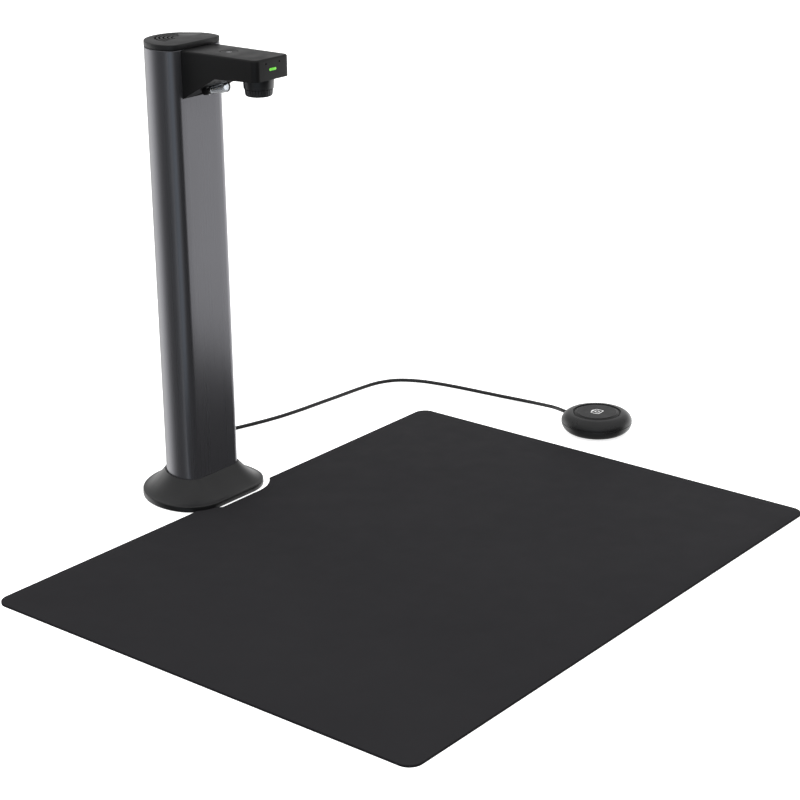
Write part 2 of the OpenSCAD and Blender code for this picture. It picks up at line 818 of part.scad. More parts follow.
module puck_board() {
    color(board_green) on_puck() translate([0, 0, puck_base_z + puck_wall + 0.1]) cylinder(h = 1.6, r = 15);
}

module puck_switch() {
    base = puck_base_z + puck_wall + 1.7;
    color("dimgray") on_puck() translate([0, 0, base]) {
        translate([-3, -3, 0]) cube([6, 6, 4.4]);
        cylinder(h = 6, r = 1.6);
    }
}

// Coil spring that lifts the disc
module puck_spring() {
    turns = 4;
    steps = 72;
    wire_r = 0.45;
    rise = spring_z[1] - spring_z[0] - 2 * wire_r;
    color(steel_grey) on_puck() skin([for (i = [0 : steps]) let (a = 360 * turns * i / steps)
        [for (k = [0 : 7]) let (b = -45 * k) [
            (spring_r + wire_r * cos(b)) * cos(a), (spring_r + wire_r * cos(b)) * sin(a),
            spring_z[0] + wire_r + rise * i / steps + wire_r * sin(b)
        ]]]);
}

module puck_button() {
    color(black_plastic) on_puck() {
        top = puck_h + puck_proud;
        rotate_extrude() polygon([
            [0, puck_lip_z - 2], [puck_button_r + 1.4, puck_lip_z - 2],
            [puck_button_r + 1.4, puck_lip_z - 0.3], [puck_button_r, puck_lip_z - 0.3],
            [puck_button_r, top - puck_bevel[1]],
            [puck_button_r - puck_bevel[0], top], [0, top]
        ]);
        translate([0, 0, 12.1]) cylinder(h = 3, r = 2);
    }
}

module puck_screws() {
    color(steel_grey) on_puck() for (at = puck_posts) translate([at[0], at[1], 3.2]) screw(1.8, 1.1, 1, 7.8);
}

module puck_gland() {
    color(rubber_black) on_puck() translate([0, 0, gland_z]) rotate([0, 0, gland_angle]) rotate([0, 90, 0]) {
        translate([0, 0, 25.5]) cylinder(h = gland_out - 25.5, r = 2.1);
        translate([0, 0, 24.8]) cylinder(h = 1, r = 2.3);
    }
}

// ---- Cord ----

// Point on the smooth curve through the route, and the curve's direction there
function route_at(i) = cord_route[max(0, min(len(cord_route) - 1, i))];
function curve_at(i, t) =
    let (a = route_at(i - 1), b = route_at(i), c = route_at(i + 1), d = route_at(i + 2))
    b + t / 2 * ((c - a) + t * ((2 * a - 5 * b + 4 * c - d) + t * (3 * b - a - 3 * c + d)));
cord_line = concat(
    [for (i = [0 : len(cord_route) - 2])
        let (n = max(1, round(norm(cord_route[i + 1] - cord_route[i]) / cord_step)))
        for (k = [0 : n - 1]) curve_at(i, k / n)],
    [cord_route[len(cord_route) - 1]]
);
function unit(v) = v / norm(v);
function cord_direction(i) =
    unit(cord_line[min(i + 1, len(cord_line) - 1)] - cord_line[max(i - 1, 0)]);
function cord_ring(i) =
    let (ahead = cord_direction(i), side = unit(cross(ahead, [0, 0, 1])), up = cross(side, ahead))
    [for (k = [0 : cord_sides - 1]) let (a = 360 * (k + 0.5) / cord_sides)
        cord_line[i] + cord_d / 2 * (cos(a) * side + sin(a) * up)];

module remote_cord() {
    color(rubber_black) skin([for (i = [0 : len(cord_line) - 1]) cord_ring(i)]);
}

// ---- Reading mat ----

module mat_outline() {
    half = mat_w / 2;
    r = mat_corner_r;
    translate([mat_at[0], mat_at[1]]) {
        square([mat_w, mat_depth - 2 * r], center = true);
        square([mat_w - 2 * r, mat_depth], center = true);
        for (sx = [0, 1], sy = [0, 1]) mirror([sx, 0]) mirror([0, sy])
            translate([half - r, mat_depth / 2 - r]) quarter(r);
    }
}

module mat_notch() {
    translate([notch_x[0], notch_y]) square([notch_x[1] - notch_x[0], notch_r]);
    translate([notch_x[1], notch_y + notch_r]) mirror([0, 1]) quarter(notch_r);
    translate([notch_x[0], notch_y + notch_left_r]) mirror([1, 0]) mirror([0, 1]) quarter(notch_left_r);
    polygon(d_points(foot_d, -notch_fit, 6, 24));
}

module scan_mat() {
    color([0.16, 0.16, 0.17]) linear_extrude(mat_t) difference() {
        mat_outline();
        mat_notch();
    }
}

foot_cover();
foot_ballast();
foot_pad();
foot_screws();
column_shell();
chassis_plate();
board_standoffs();
main_board();
ribbon_cable();
port_panel();
port_board();
usb_socket();
remote_socket();
top_cap();
speaker();
arm_shell();
arm_underside();
arm_bracket();
bracket_screws();
arm_screws();
status_light();
head_board();
head_switch();
head_button();
camera_board();
image_sensor();
lens_housing();
focus_ring();
lens_cell();
front_lens();
rear_lens();
lamp_socket();
lamp_tube();
lamp_board();
puck_base();
puck_cover();
puck_pad();
puck_board();
puck_switch();
puck_spring();
puck_button();
puck_screws();
puck_gland();
remote_plug();
plug_relief();
remote_cord();
scan_mat();
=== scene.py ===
"""Looks of the document camera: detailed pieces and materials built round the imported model.

Lengths are in metres. Sizes written in millimetres are multiplied by MM.
"""
import math

import bmesh
import bpy
from mathutils import Matrix, Vector


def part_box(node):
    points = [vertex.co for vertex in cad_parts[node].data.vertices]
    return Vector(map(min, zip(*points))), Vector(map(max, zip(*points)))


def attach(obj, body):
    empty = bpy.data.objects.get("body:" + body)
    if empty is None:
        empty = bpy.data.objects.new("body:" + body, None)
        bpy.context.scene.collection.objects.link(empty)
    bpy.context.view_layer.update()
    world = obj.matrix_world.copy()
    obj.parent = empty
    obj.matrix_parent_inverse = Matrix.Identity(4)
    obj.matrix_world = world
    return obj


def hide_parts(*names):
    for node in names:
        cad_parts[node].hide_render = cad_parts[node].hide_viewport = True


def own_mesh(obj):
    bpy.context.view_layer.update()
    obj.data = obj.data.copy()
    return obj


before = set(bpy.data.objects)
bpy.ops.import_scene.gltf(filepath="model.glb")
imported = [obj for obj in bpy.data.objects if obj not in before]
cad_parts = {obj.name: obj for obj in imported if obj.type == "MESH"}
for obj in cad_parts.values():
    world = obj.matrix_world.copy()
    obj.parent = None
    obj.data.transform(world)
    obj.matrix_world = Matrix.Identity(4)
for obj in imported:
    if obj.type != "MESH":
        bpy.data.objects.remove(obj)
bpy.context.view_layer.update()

MM = 0.001
STAND, FOCUS, HEAD_KEY, HAND_KEY, MAT = "stand", "focus", "head_key", "hand_key", "mat"


# ---------------- camera

def add_camera():
    """The view of the photograph: a long lens from the front left, above the mat."""
    place = Vector((-1.0403, -1.0472, 0.6084))
    azimuth, elevation, roll = (math.radians(a) for a in (-50.987, 20.115, -0.678))
    right = Vector((math.cos(azimuth), math.sin(azimuth), 0))
    ahead = Vector((
        -math.sin(azimuth) * math.cos(elevation),
        math.cos(azimuth) * math.cos(elevation),
        -math.sin(elevation),
    ))
    up = right.cross(ahead)
    turned_right = math.cos(roll) * right + math.sin(roll) * up
    turned_up = math.cos(roll) * up - math.sin(roll) * right
    data = bpy.data.cameras.new("photo_view")
    data.sensor_width = 36
    data.lens = 91.1
    data.clip_start, data.clip_end = 0.05, 20
    camera = bpy.data.objects.new("photo_view", data)
    axes = Matrix((turned_right, turned_up, -ahead)).transposed()
    camera.matrix_world = Matrix.Translation(place) @ axes.to_4x4()
    bpy.context.scene.collection.objects.link(camera)
    bpy.context.scene.camera = camera


add_camera()
bpy.context.scene.view_settings.view_transform = "Standard"


# ---------------- making pieces

def new_object(name, mesh):
    made = bpy.data.objects.new(name, mesh)
    bpy.context.scene.collection.objects.link(made)
    return made


def mesh_from(name, points, faces):
    """A mesh object with its doubled points merged and its normals facing out."""
    mesh = bpy.data.meshes.new(name)
    mesh.from_pydata([tuple(p) for p in points], [], faces)
    tidy(mesh)
    return new_object(name, mesh)


def tidy(mesh, merge=1e-7):
    work = bmesh.new()
    work.from_mesh(mesh)
    bmesh.ops.remove_doubles(work, verts=work.verts, dist=merge)
    bmesh.ops.recalc_face_normals(work, faces=work.faces)
    work.to_mesh(mesh)
    work.free()
    mesh.validate()


def evaluated_mesh(made):
    """The object's mesh once its modifiers or its curve's settings are worked out."""
    bpy.context.view_layer.update()
    return bpy.data.meshes.new_from_object(made.evaluated_get(bpy.context.evaluated_depsgraph_get()))


def apply_modifiers(made):
    result = evaluated_mesh(made)
    made.modifiers.clear()
    made.data = result
    return made


def bevel(made, width, segments=3, angle=30):
    edge = made.modifiers.new("bevel", "BEVEL")
    edge.width = width
    edge.segments = segments
    edge.limit_method = "ANGLE"
    edge.angle_limit = math.radians(angle)
    edge.use_clamp_overlap = True
    return apply_modifiers(made)


def carve(made, *cutters, operation="DIFFERENCE"):
    """Cuts the other objects out of this one, and removes them."""
    for cutter in cutters:
        cut = made.modifiers.new("cut", "BOOLEAN")
        cut.operation = operation
        cut.solver = "EXACT"
        cut.object = cutter
        apply_modifiers(made)
        bpy.data.objects.remove(cutter)
    tidy(made.data)
    return made


def join(name, parts):
    """One object from several, each keeping its materials."""
    work = bmesh.new()
    materials = []
    for part in parts:
        offset = len(materials)
        materials.extend(part.data.materials)
        before = len(work.faces)
        part.data.transform(part.matrix_world)
        work.from_mesh(part.data)
        work.faces.ensure_lookup_table()
        for face in work.faces[before:]:
            face.material_index += offset
        bpy.data.objects.remove(part)
    mesh = bpy.data.meshes.new(name)
    work.to_mesh(mesh)
    work.free()
    for each in materials:
        mesh.materials.append(each)
    return new_object(name, mesh)


def finish(made, material, slot, *nodes, body=STAND, angle=32):
    """Shades a piece, sharp where faces meet at more than the angle, gives it its material and its body,
    and hides the CAD nodes it stands for. The slot is not used."""
    made.data.shade_smooth()
    made.data.set_sharp_from_angle(angle=math.radians(angle))
    if material is not None:
        made.data.materials.clear()
        made.data.materials.append(material)
    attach(made, body)
    if nodes:
        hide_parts(*nodes)
    return made


def paint_shade(made, chosen):
    """Paints shade: gives the faces whose centres are chosen a deeper black."""
    made.data.materials.append(DEEP_BLACK)
    for face in made.data.polygons:
        if chosen(*face.center):
            face.material_index = 1


def loft(name, rings, closed=False):
    """A skin through rings of equally many points; closed joins the last ring to the first."""
    n = len(rings[0])
    points = [p for ring in rings for p in ring]
    pairs = len(rings) if closed else len(rings) - 1
    faces = []
    for k in range(pairs):
        a, b = k * n, ((k + 1) % len(rings)) * n
        faces += [(a + i, a + (i + 1) % n, b + (i + 1) % n, b + i) for i in range(n)]
    if not closed:
        faces += [tuple(range(n)), tuple(range((len(rings) - 1) * n, len(rings) * n))]
    return mesh_from(name, points, faces)


def revolve(name, profile, centre, axis="Z", steps=96, closed=False):
    """A body of revolution. The profile is a list of (radius, distance along the axis)."""
    turn = {
        "Z": lambda r, h, a: Vector((r * math.cos(a), r * math.sin(a), h)),
        "X": lambda r, h, a: Vector((h, r * math.cos(a), r * math.sin(a))),
        "Y": lambda r, h, a: Vector((r * math.sin(a), h, r * math.cos(a))),
    }[axis]
    angles = [math.tau * i / steps for i in range(steps)]
    rings = [[Vector(centre) + turn(max(r, 0), h, a) for a in angles] for r, h in profile]
    return loft(name, rings, closed)


def at_level(level, pairs):
    """A profile from radii and heights in millimetres, the heights counted from the level."""
    return [(r * MM, level + h * MM) for r, h in pairs]


def arc(cx, cy, r, start, end, steps):
    """Points on an arc, angles in degrees, both ends included."""
    angles = [math.radians(start + (end - start) * i / steps) for i in range(steps + 1)]
    return [(cx + r * math.cos(a), cy + r * math.sin(a)) for a in angles]


def circle(cx, cy, r, steps):
    return arc(cx, cy, r, 0, 360 - 360 / steps, steps - 1)


def rectangle(x0, y0, x1, y1):
    return [(x0, y0), (x1, y0), (x1, y1), (x0, y1)]


def rounded_rectangle(cx, cy, width, depth, r, steps=6):
    x, y = width / 2 - r, depth / 2 - r
    corners = [(x, -y, -90), (x, y, 0), (-x, y, 90), (-x, -y, 180)]
    return [p for dx, dy, a in corners for p in arc(cx + dx, cy + dy, r, a, a + 90, steps)]


def prism(name, outline, low, high, axis="Z"):
    """An outline pushed along an axis. For X the outline is in (y, z), for Y in (x, z)."""
    place = {
        "Z": lambda p, h: Vector((p[0], p[1], h)),
        "X": lambda p, h: Vector((h, p[0], p[1])),
        "Y": lambda p, h: Vector((p[0], h, p[1])),
    }[axis]
    return loft(name, [[place(p, h) for p in outline] for h in (low, high)])


def rounded_box(name, low, high, radius):
    low, high = Vector(low), Vector(high)
    return bevel(prism(name, rectangle(low.x, low.y, high.x, high.y), low.z, high.z), radius)


def curve_through(name, dimensions, lines):
    """Curve data with a straight-sided line through each list of points."""
    curve = bpy.data.curves.new(name, "CURVE")
    curve.dimensions = dimensions
    for points in lines:
        spline = curve.splines.new("POLY")
        spline.points.add(len(points) - 1)
        for target, point in zip(spline.points, points):
            target.co = (*point, 1)
    return curve


def slab(name, loops, low, high, edge):
    """A flat plate with holes and rounded edges, from its outline and the holes' outlines."""
    curve = curve_through(name, "2D", [[(x, y, 0) for x, y in points] for points in loops])
    for line in curve.splines:
        line.use_cyclic_u = True
    curve.fill_mode = "BOTH"
    curve.extrude = (high - low) / 2 - edge
    curve.bevel_depth = edge
    curve.bevel_resolution = 2
    curve.offset = -edge
    flat = new_object(name, curve)
    mesh = evaluated_mesh(flat)
    bpy.data.objects.remove(flat)
    mesh.transform(Matrix.Translation((0, 0, (low + high) / 2)))
    tidy(mesh, 1e-6)
    mesh.name = name
    return new_object(name, mesh)


def node_box(name):
    """The low corner, the high corner and the centre of a CAD node's box."""
    low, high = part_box(name)
    return low, high, (low + high) / 2


# ---------------- materials

def add_node(tree, kind, **inputs):
    """A new node. Each input, named with _ for a space, is set to a value or linked to a socket."""
    node = tree.nodes.new("ShaderNode" + kind)
    for name, value in inputs.items():
        socket = node.inputs[name.replace("_", " ")]
        if isinstance(value, bpy.types.NodeSocket):
            tree.links.new(value, socket)
        else:
            socket.default_value = value
    return node


def add_math(tree, operation, *sockets):
    node = add_node(tree, "Math")
    node.operation = operation
    for source, target in zip(sockets, node.inputs):
        tree.links.new(source, target)
    return node.outputs["Value"]


class Shader:
    """A small helper for building one procedural material."""

    def __init__(self, name, colour, roughness, metallic=0.0, specular=0.5):
        self.material = bpy.data.materials.new(name)
        self.material.use_nodes = True
        self.tree = self.material.node_tree
        self.surface = self.tree.nodes["Principled BSDF"]
        self.set("Base Color", (*colour, 1))
        self.set("Roughness", roughness)
        self.set("Metallic", metallic)
        self.set("Specular IOR Level", specular)
        self.coordinates = add_node(self.tree, "TexCoord").outputs["Object"]

    def set(self, socket, value):
        self.surface.inputs[socket].default_value = value

    def feed(self, socket, source):
        self.tree.links.new(source, self.surface.inputs[socket])

    def made(self, kind, output, **inputs):
        """The output of a new node."""
        return add_node(self.tree, kind, **inputs).outputs[output]

    def stretched(self, scale):
        """Object coordinates scaled differently along each axis."""
        return self.made("Mapping", "Vector", Scale=scale, Vector=self.coordinates)

    def noise(self, scale, detail=2.0, vector=None):
        place = vector or self.coordinates
        return self.made("TexNoise", "Fac", Scale=scale, Detail=detail, Vector=place)

    def cells(self, scale):
        return self.made("TexVoronoi", "Distance", Scale=scale, Vector=self.coordinates)

    def ranged(self, value, low, high, start=0.3, end=0.7):
        limits = {"From_Min": start, "From_Max": end, "To_Min": low, "To_Max": high}
        return self.made("MapRange", "Result", Value=value, **limits)

    def ramp(self, value, stops):
        node = add_node(self.tree, "ValToRGB", Fac=value)
        ramp = node.color_ramp
        while len(ramp.elements) < len(stops):
            ramp.elements.new(0.5)
        for element, (place, colour) in zip(ramp.elements, stops):
            element.position = place
            element.color = (*colour, 1)
        return node.outputs["Color"]

    def vary_colour(self, value, dark, light):
        self.feed("Base Color", self.ramp(value, [(0.3, dark), (0.7, light)]))

    def vary_roughness(self, value, low, high):
        self.feed("Roughness", self.ranged(value, low, high))

    def bump(self, value, strength, distance):
        self.feed("Normal", self.made("Bump", "Normal", Strength=strength, Distance=distance, Height=value))


def grey(value, cool=1.03):
    return (value, value, value * cool)


def moulded(name, value, roughness, specular, grain=0.12):
    """Satin moulded plastic with a fine spark-eroded texture and faint blotches."""
    shader = Shader(name, grey(value), roughness, specular=specular)
    blotch = shader.noise(38, 3)
    shader.vary_colour(blotch, grey(value * 0.9), grey(value * 1.1))
    shader.vary_roughness(shader.noise(90, 4), roughness - 0.05, roughness + 0.06)
    shader.bump(shader.noise(4200, 3), grain, 0.00004)
    return shader.material


def anodised():
    """Grey anodised extrusion, with faint lines drawn along its length."""
    shader = Shader("gunmetal_anodised", (0.17, 0.17, 0.183), 0.28, metallic=0.76, specular=0.3)
    lines = shader.noise(1, 3, shader.stretched((1900, 1900, 6)))
    shader.vary_colour(shader.noise(12, 2), (0.166, 0.166, 0.178), (0.176, 0.176, 0.19))
    shader.vary_roughness(lines, 0.27, 0.3)
    shader.bump(lines, 0.012, 0.00001)
    return shader.material


def rubber(name, value, roughness=0.6):
    shader = Shader(name, grey(value, 1.0), roughness, specular=0.35)
    shader.vary_colour(shader.noise(60, 3), grey(value * 0.85, 1.0), grey(value * 1.15, 1.0))
    shader.vary_roughness(shader.noise(160, 2), roughness - 0.08, roughness + 0.08)
    shader.bump(shader.noise(2600, 3), 0.18, 0.00005)
    return shader.material


def mat_surface():
    """Charcoal mat with a fine pebbled grain and very slight cloudiness."""
    shader = Shader("mat_charcoal", grey(0.0185), 0.8, specular=0.06)
    shader.vary_colour(shader.noise(7, 4), (0.0178, 0.0174, 0.019), (0.0196, 0.0192, 0.0208))
    shader.vary_roughness(shader.noise(45, 3), 0.76, 0.84)
    shader.bump(shader.cells(1500), 0.2, 0.00005)
    return shader.material


def metal(name, colour, roughness=0.32, grain=400):
    shader = Shader(name, colour, roughness, metallic=1.0)
    dull = tuple(c * 0.85 for c in colour)
    shader.vary_colour(shader.noise(70, 3), dull, colour)
    shader.vary_roughness(shader.noise(grain, 3), roughness - 0.08, roughness + 0.1)
    shader.bump(shader.noise(grain * 4, 2), 0.08, 0.00002)
    return shader.material


def board_finish():
    shader = Shader("circuit_board", (0.02, 0.12, 0.06), 0.35)
    shader.vary_colour(shader.cells(700), (0.015, 0.09, 0.045), (0.03, 0.17, 0.08))
    shader.bump(shader.cells(900), 0.2, 0.00004)
    return shader.material


def simple(name, colour, roughness, scale=80):
    """A plain moulded or printed finish with slight variation."""
    shader = Shader(name, colour, roughness)
    shader.vary_colour(shader.noise(scale, 3), tuple(c * 0.9 for c in colour), colour)
    shader.vary_roughness(shader.noise(scale * 3, 2), roughness - 0.05, roughness + 0.05)
    shader.bump(shader.noise(scale * 40, 2), 0.08, 0.00003)
    return shader.material


def clear(name, tint, ior=1.49, ripple=0.03):
    """Clear moulded plastic or glass."""
    shader = Shader(name, tint, 0.03)
    shader.set("Transmission Weight", 1.0)
    shader.set("IOR", ior)
    shader.vary_roughness(shader.noise(120, 2), 0.01, 0.05)
    shader.bump(shader.noise(260, 2), ripple, 0.0001)
    return shader.material


def green_light():
    """Lit green lens, brightest where its two diodes sit at the ends."""
    shader = Shader("green_light", (0.1, 0.6, 0.03), 0.3)
    low, high, _ = node_box("status_light")
    sideways = shader.made("SeparateXYZ", "X", Vector=shader.coordinates)
    offset = add_math(shader.tree, "ABSOLUTE", sideways)
    ends = shader.ranged(offset, 0, 1, 0, (high.x - low.x) / 2)
    glow = shader.ramp(ends, [(0.0, (0.1, 0.5, 0.02)), (0.5, (0.16, 0.62, 0.03)), (1.0, (0.38, 0.95, 0.14))])
    shader.feed("Emission Color", glow)
    shader.set("Emission Strength", 0.6)
    shader.bump(shader.noise(900, 2), 0.05, 0.00005)
    return shader.material
FOOT_BLACK = moulded("foot_black", 0.0155, 0.36, 0.5)
ARM_BLACK = moulded("arm_black", 0.0105, 0.42, 0.2)
CAP_BLACK = moulded("cap_black", 0.016, 0.5, 0.38)
# Deep black is the own colour of the plug, rear panel, lamp holder, jack socket and lens cell, and is also
# laid on chosen faces as painted shade.
DEEP_BLACK = moulded("deep_black", 0.008, 0.4, 0.35)
LENS_BLACK = moulded("lens_black", 0.034, 0.35, 0.4)
PUCK_BLACK = moulded("puck_black", 0.0155, 0.3, 0.42)
DISC_BLACK = moulded("disc_black", 0.02, 0.5, 0.33)
INNER = simple("inner_plastic", (0.09, 0.09, 0.09), 0.5)
COLUMN = anodised()
CORD = rubber("cord_jacket", 0.02, 0.42)
PAD = rubber("pad_rubber", 0.03, 0.75)
MAT_TOP = mat_surface()
STEEL = metal("zinc_steel", (0.62, 0.62, 0.63))
BRASS = metal("turned_brass", (0.75, 0.58, 0.28))
BOARD = board_finish()
RIBBON = simple("ribbon_film", (0.7, 0.66, 0.5), 0.35)
WHITE_PRINT = simple("white_print", (0.8, 0.8, 0.8), 0.5, scale=400)
GREY_PRINT = simple("grey_print", (0.35, 0.35, 0.36), 0.5, scale=400)
LAMP_BOARD = simple("lamp_board", (0.04, 0.04, 0.045), 0.4)
PHOSPHOR = simple("diode_phosphor", (0.8, 0.62, 0.12), 0.35, scale=500)
SENSOR = metal("sensor_window", (0.18, 0.2, 0.32), 0.12)
CLEAR_TUBE = clear("clear_acrylic", (0.82, 0.85, 0.88))
LENS_GLASS = clear("lens_glass", (0.75, 0.82, 0.95), 1.6, 0.0)
GREEN = green_light()

CARRIED = {
    STEEL: ["foot_ballast", "foot_screws", "chassis_plate", "arm_bracket", "bracket_screws", "arm_screws",
            "usb_socket", "puck_screws"],
    BRASS: ["board_standoffs"],
    BOARD: ["main_board", "port_board", "head_board", "camera_board", "puck_board"],
    RIBBON: ["ribbon_cable"],
    INNER: ["speaker", "head_switch"],
    DEEP_BLACK: ["remote_socket", "lens_cell"],
    SENSOR: ["image_sensor"],
    LENS_GLASS: ["front_lens", "rear_lens"],
}


def paint_carried_nodes():
    for material, names in CARRIED.items():
        for name in names:
            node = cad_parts[name]
            node.data.materials.clear()
            node.data.materials.append(material)


# ---------------- cord

# The cord's route in millimetres, from the plug at the column to the hand button
ROUTE = [
    (9, 38, 34), (9, 41, 34), (11.4, 43.8, 33.2), (15, 47.3, 30.6), (20, 50.6, 26.5),
    (27, 54.8, 20), (36, 59.5, 12), (47, 64, 5.5), (60, 67.3, 2), (76, 69, 1.6), (95, 67.5, 1.6),
    (114, 62, 1.6), (133, 56.5, 1.6), (153, 52, 1.6), (175, 49, 1.6), (199, 47, 1.6),
    (223, 45, 1.6), (249, 43, 1.6), (270, 39.5, 1.6), (286, 30, 1.6), (296, 13, 1.6),
    (301, -6, 1.6), (304, -26, 1.6), (306, -46, 1.6), (308, -67, 1.6), (309, -88, 2.2),
    (307.5, -108, 3.6), (303, -128, 6), (297.2, -142.2, 7.6), (296, -149, 7.6),
]
CORD_D = 3.1 * MM


def smooth_route(points, steps=8):
    """Points along the smooth curve through the route."""
    places = [Vector(p) * MM for p in points]
    last = len(places) - 1
    line = []
    for i in range(last):
        a, b, c, d = (places[max(0, min(last, i + k))] for k in (-1, 0, 1, 2))
        for k in range(steps):
            t = k / steps
            bend = (2 * a - 5 * b + 4 * c - d) + t * (3 * b - a - 3 * c + d)
            line.append(b + t / 2 * ((c - a) + t * bend))
    return line + [places[last]]


def build_cord():
    """The cord's object and the points of its centre line."""
    line = smooth_route(ROUTE)
    curve = curve_through("remote_lead", "3D", [line])
    curve.bevel_depth = CORD_D / 2
    curve.bevel_resolution = 5
    curve.use_fill_caps = True
    lead = new_object("remote_lead", curve)
    curve.materials.append(CORD)
    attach(lead, STAND)
    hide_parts("remote_cord")
    return lead, line


def build_plug():
    """Jack plug with a ribbed grip, and its ringed strain relief."""
    low, high, middle = node_box("remote_plug")
    r, tip_r, start = (high.x - low.x) / 2, 1.7 * MM, high.y - 8.3 * MM
    dip = r - 0.35 * MM
    profile = [(0, low.y), (tip_r * 0.6, low.y), (tip_r, low.y + 0.8 * MM), (tip_r, start)]
    profile += [(r - 0.6 * MM, start), (r - 0.1 * MM, start + 0.4 * MM)]
    for k in range(4):
        y = start + (1.6 + 1.3 * k) * MM
        profile += [(r, y), (dip, y + 0.3 * MM), (dip, y + 0.6 * MM), (r, y + 0.9 * MM)]
    profile += [(r - 0.3 * MM, high.y - 0.9 * MM), (r - 1.0 * MM, high.y - 0.05 * MM), (0, high.y)]
    plug = revolve("jack_plug", profile, (middle.x, 0, middle.z), "Y", 48)
    finish(plug, DEEP_BLACK, "black_plastic", "remote_plug")

    low, high, middle = node_box("plug_relief")
    wide, end_r, narrow = (high.x - low.x) / 2, 1.7 * MM, CORD_D / 2 + 0.1 * MM
    dip = narrow + 0.15 * MM
    rings = 5
    step = (high.y - low.y) / rings
    profile = [(0, low.y), (wide, low.y)]
    for k in range(rings):
        y = low.y + (k + 0.35) * step
        outer = wide + (end_r - wide) * (k + 0.5) / rings
        profile += [(outer, y), (dip, y + 0.12 * step), (dip, y + 0.4 * step)]
        profile.append((outer - 0.05 * MM, y + 0.52 * step))
    profile = [p for p in profile if p[1] <= high.y] + [(narrow, high.y), (0, high.y)]
    relief = revolve("plug_boot", profile, (middle.x, 0, middle.z), "Y", 32)
    return plug, finish(relief, CORD, "cord_rubber", "plug_relief")


lead, lead_line = build_cord()
plug, relief = build_plug()


# ---------------- D-shaped stand

def d_form(node, corner_r):
    """The D outline of a node: back radius, corner radius, y of the back's centre, y of the front."""
    low, high, _ = node_box(node)
    back_r = (high.x - low.x) / 2
    return [back_r, corner_r, high.y - back_r, low.y]


def d_points(d, inset=0.0, corner_steps=14, back_steps=120):
    """Points round a D outline, counter-clockwise from the front right, moved in by inset."""
    back_r, corner_r, centre_y, front_y = d
    cy = front_y + corner_r
    cx = math.sqrt((back_r - corner_r) ** 2 - (cy - centre_y) ** 2)
    meet = math.degrees(math.atan2(cy - centre_y, cx))
    r = corner_r - inset
    right = arc(cx, cy, r, -90, meet, corner_steps)
    back = arc(0, centre_y, back_r - inset, meet, 180 - meet, back_steps)
    left = arc(-cx, cy, r, 180 - meet, 270, corner_steps)
    return right[:-1] + back + left[1:]


def d_ring(d, z, inset=0.0):
    return [Vector((x, y, z)) for x, y in d_points(d, inset)]


def round_edge(d, top, r):
    """Rings round the upper edge of a D-shaped body."""
    return [d_ring(d, top - r + r * math.sin(t), r * (1 - math.cos(t))) for t in QUARTER]


def grown(d, extra):
    """A D outline moved out by extra."""
    back_r, corner_r, centre_y, front_y = d
    return [back_r + extra, corner_r + extra, centre_y, front_y - extra]


QUARTER = [math.radians(a) for a in range(0, 91, 15)]
BUTTON_R = 6.5 * MM
COLUMN_D = d_form("column_shell", 8 * MM)
FOOT_D = d_form("foot_cover", 28 * MM)


def build_foot():
    """The flared foot, with an upright rim and a hollow sweep up to the column."""
    low, high, _ = node_box("foot_cover")
    seat_z, rim_z, roof_z = 4.7 * MM, 5.2 * MM, 7.5 * MM
    rim_wall, ballast_inset = 2.5 * MM, 11.8 * MM
    rings = [d_ring(FOOT_D, seat_z, rim_wall), d_ring(FOOT_D, low.z, rim_wall)]
    for inset, z in ((0.9, 0), (0.45, 0.15), (0.12, 0.45), (0, 0.9)):
        rings.append(d_ring(FOOT_D, low.z + z * MM, inset * MM))
    rings += round_edge(FOOT_D, rim_z, MM)
    collar, bore = grown(COLUMN_D, 1.2 * MM), grown(COLUMN_D, 0.3 * MM)
    steps, first, hollow = 26, 0.06, 1.5
    for i in range(1, steps + 1):
        t = i / steps
        s = first + (1 - first) * t
        blend = [f + s * (c - f) for f, c in zip(FOOT_D, collar)]
        rings.append(d_ring(blend, rim_z + (high.z - rim_z) * t ** hollow))
    rings += [d_ring(bore, high.z), d_ring(bore, roof_z)]
    rings += [d_ring(FOOT_D, z, ballast_inset) for z in (roof_z, seat_z)]
    foot = finish(loft("foot_flare", rings, closed=True), FOOT_BLACK, "soft_black", "foot_cover")
    # Painted shade: the upright rim and the faces below it are given a deeper black, so the rim reads darker
    # than the lit slopes above it.
    paint_shade(foot, lambda x, y, z: z < rim_z - 0.5 * MM)


def build_pad():
    low, high, _ = node_box("foot_pad")
    inset = node_box("foot_cover")[1].x - high.x
    edge = [(0.5, 0), (0.15, 0.15), (0, 0.5)]
    rings = [d_ring(FOOT_D, low.z + z * MM, inset + i * MM) for i, z in edge]
    rings += [d_ring(FOOT_D, high.z - z * MM, inset + i * MM) for i, z in reversed(edge)]
    finish(loft("foot_sole", rings), PAD, "rubber_pad", "foot_pad")


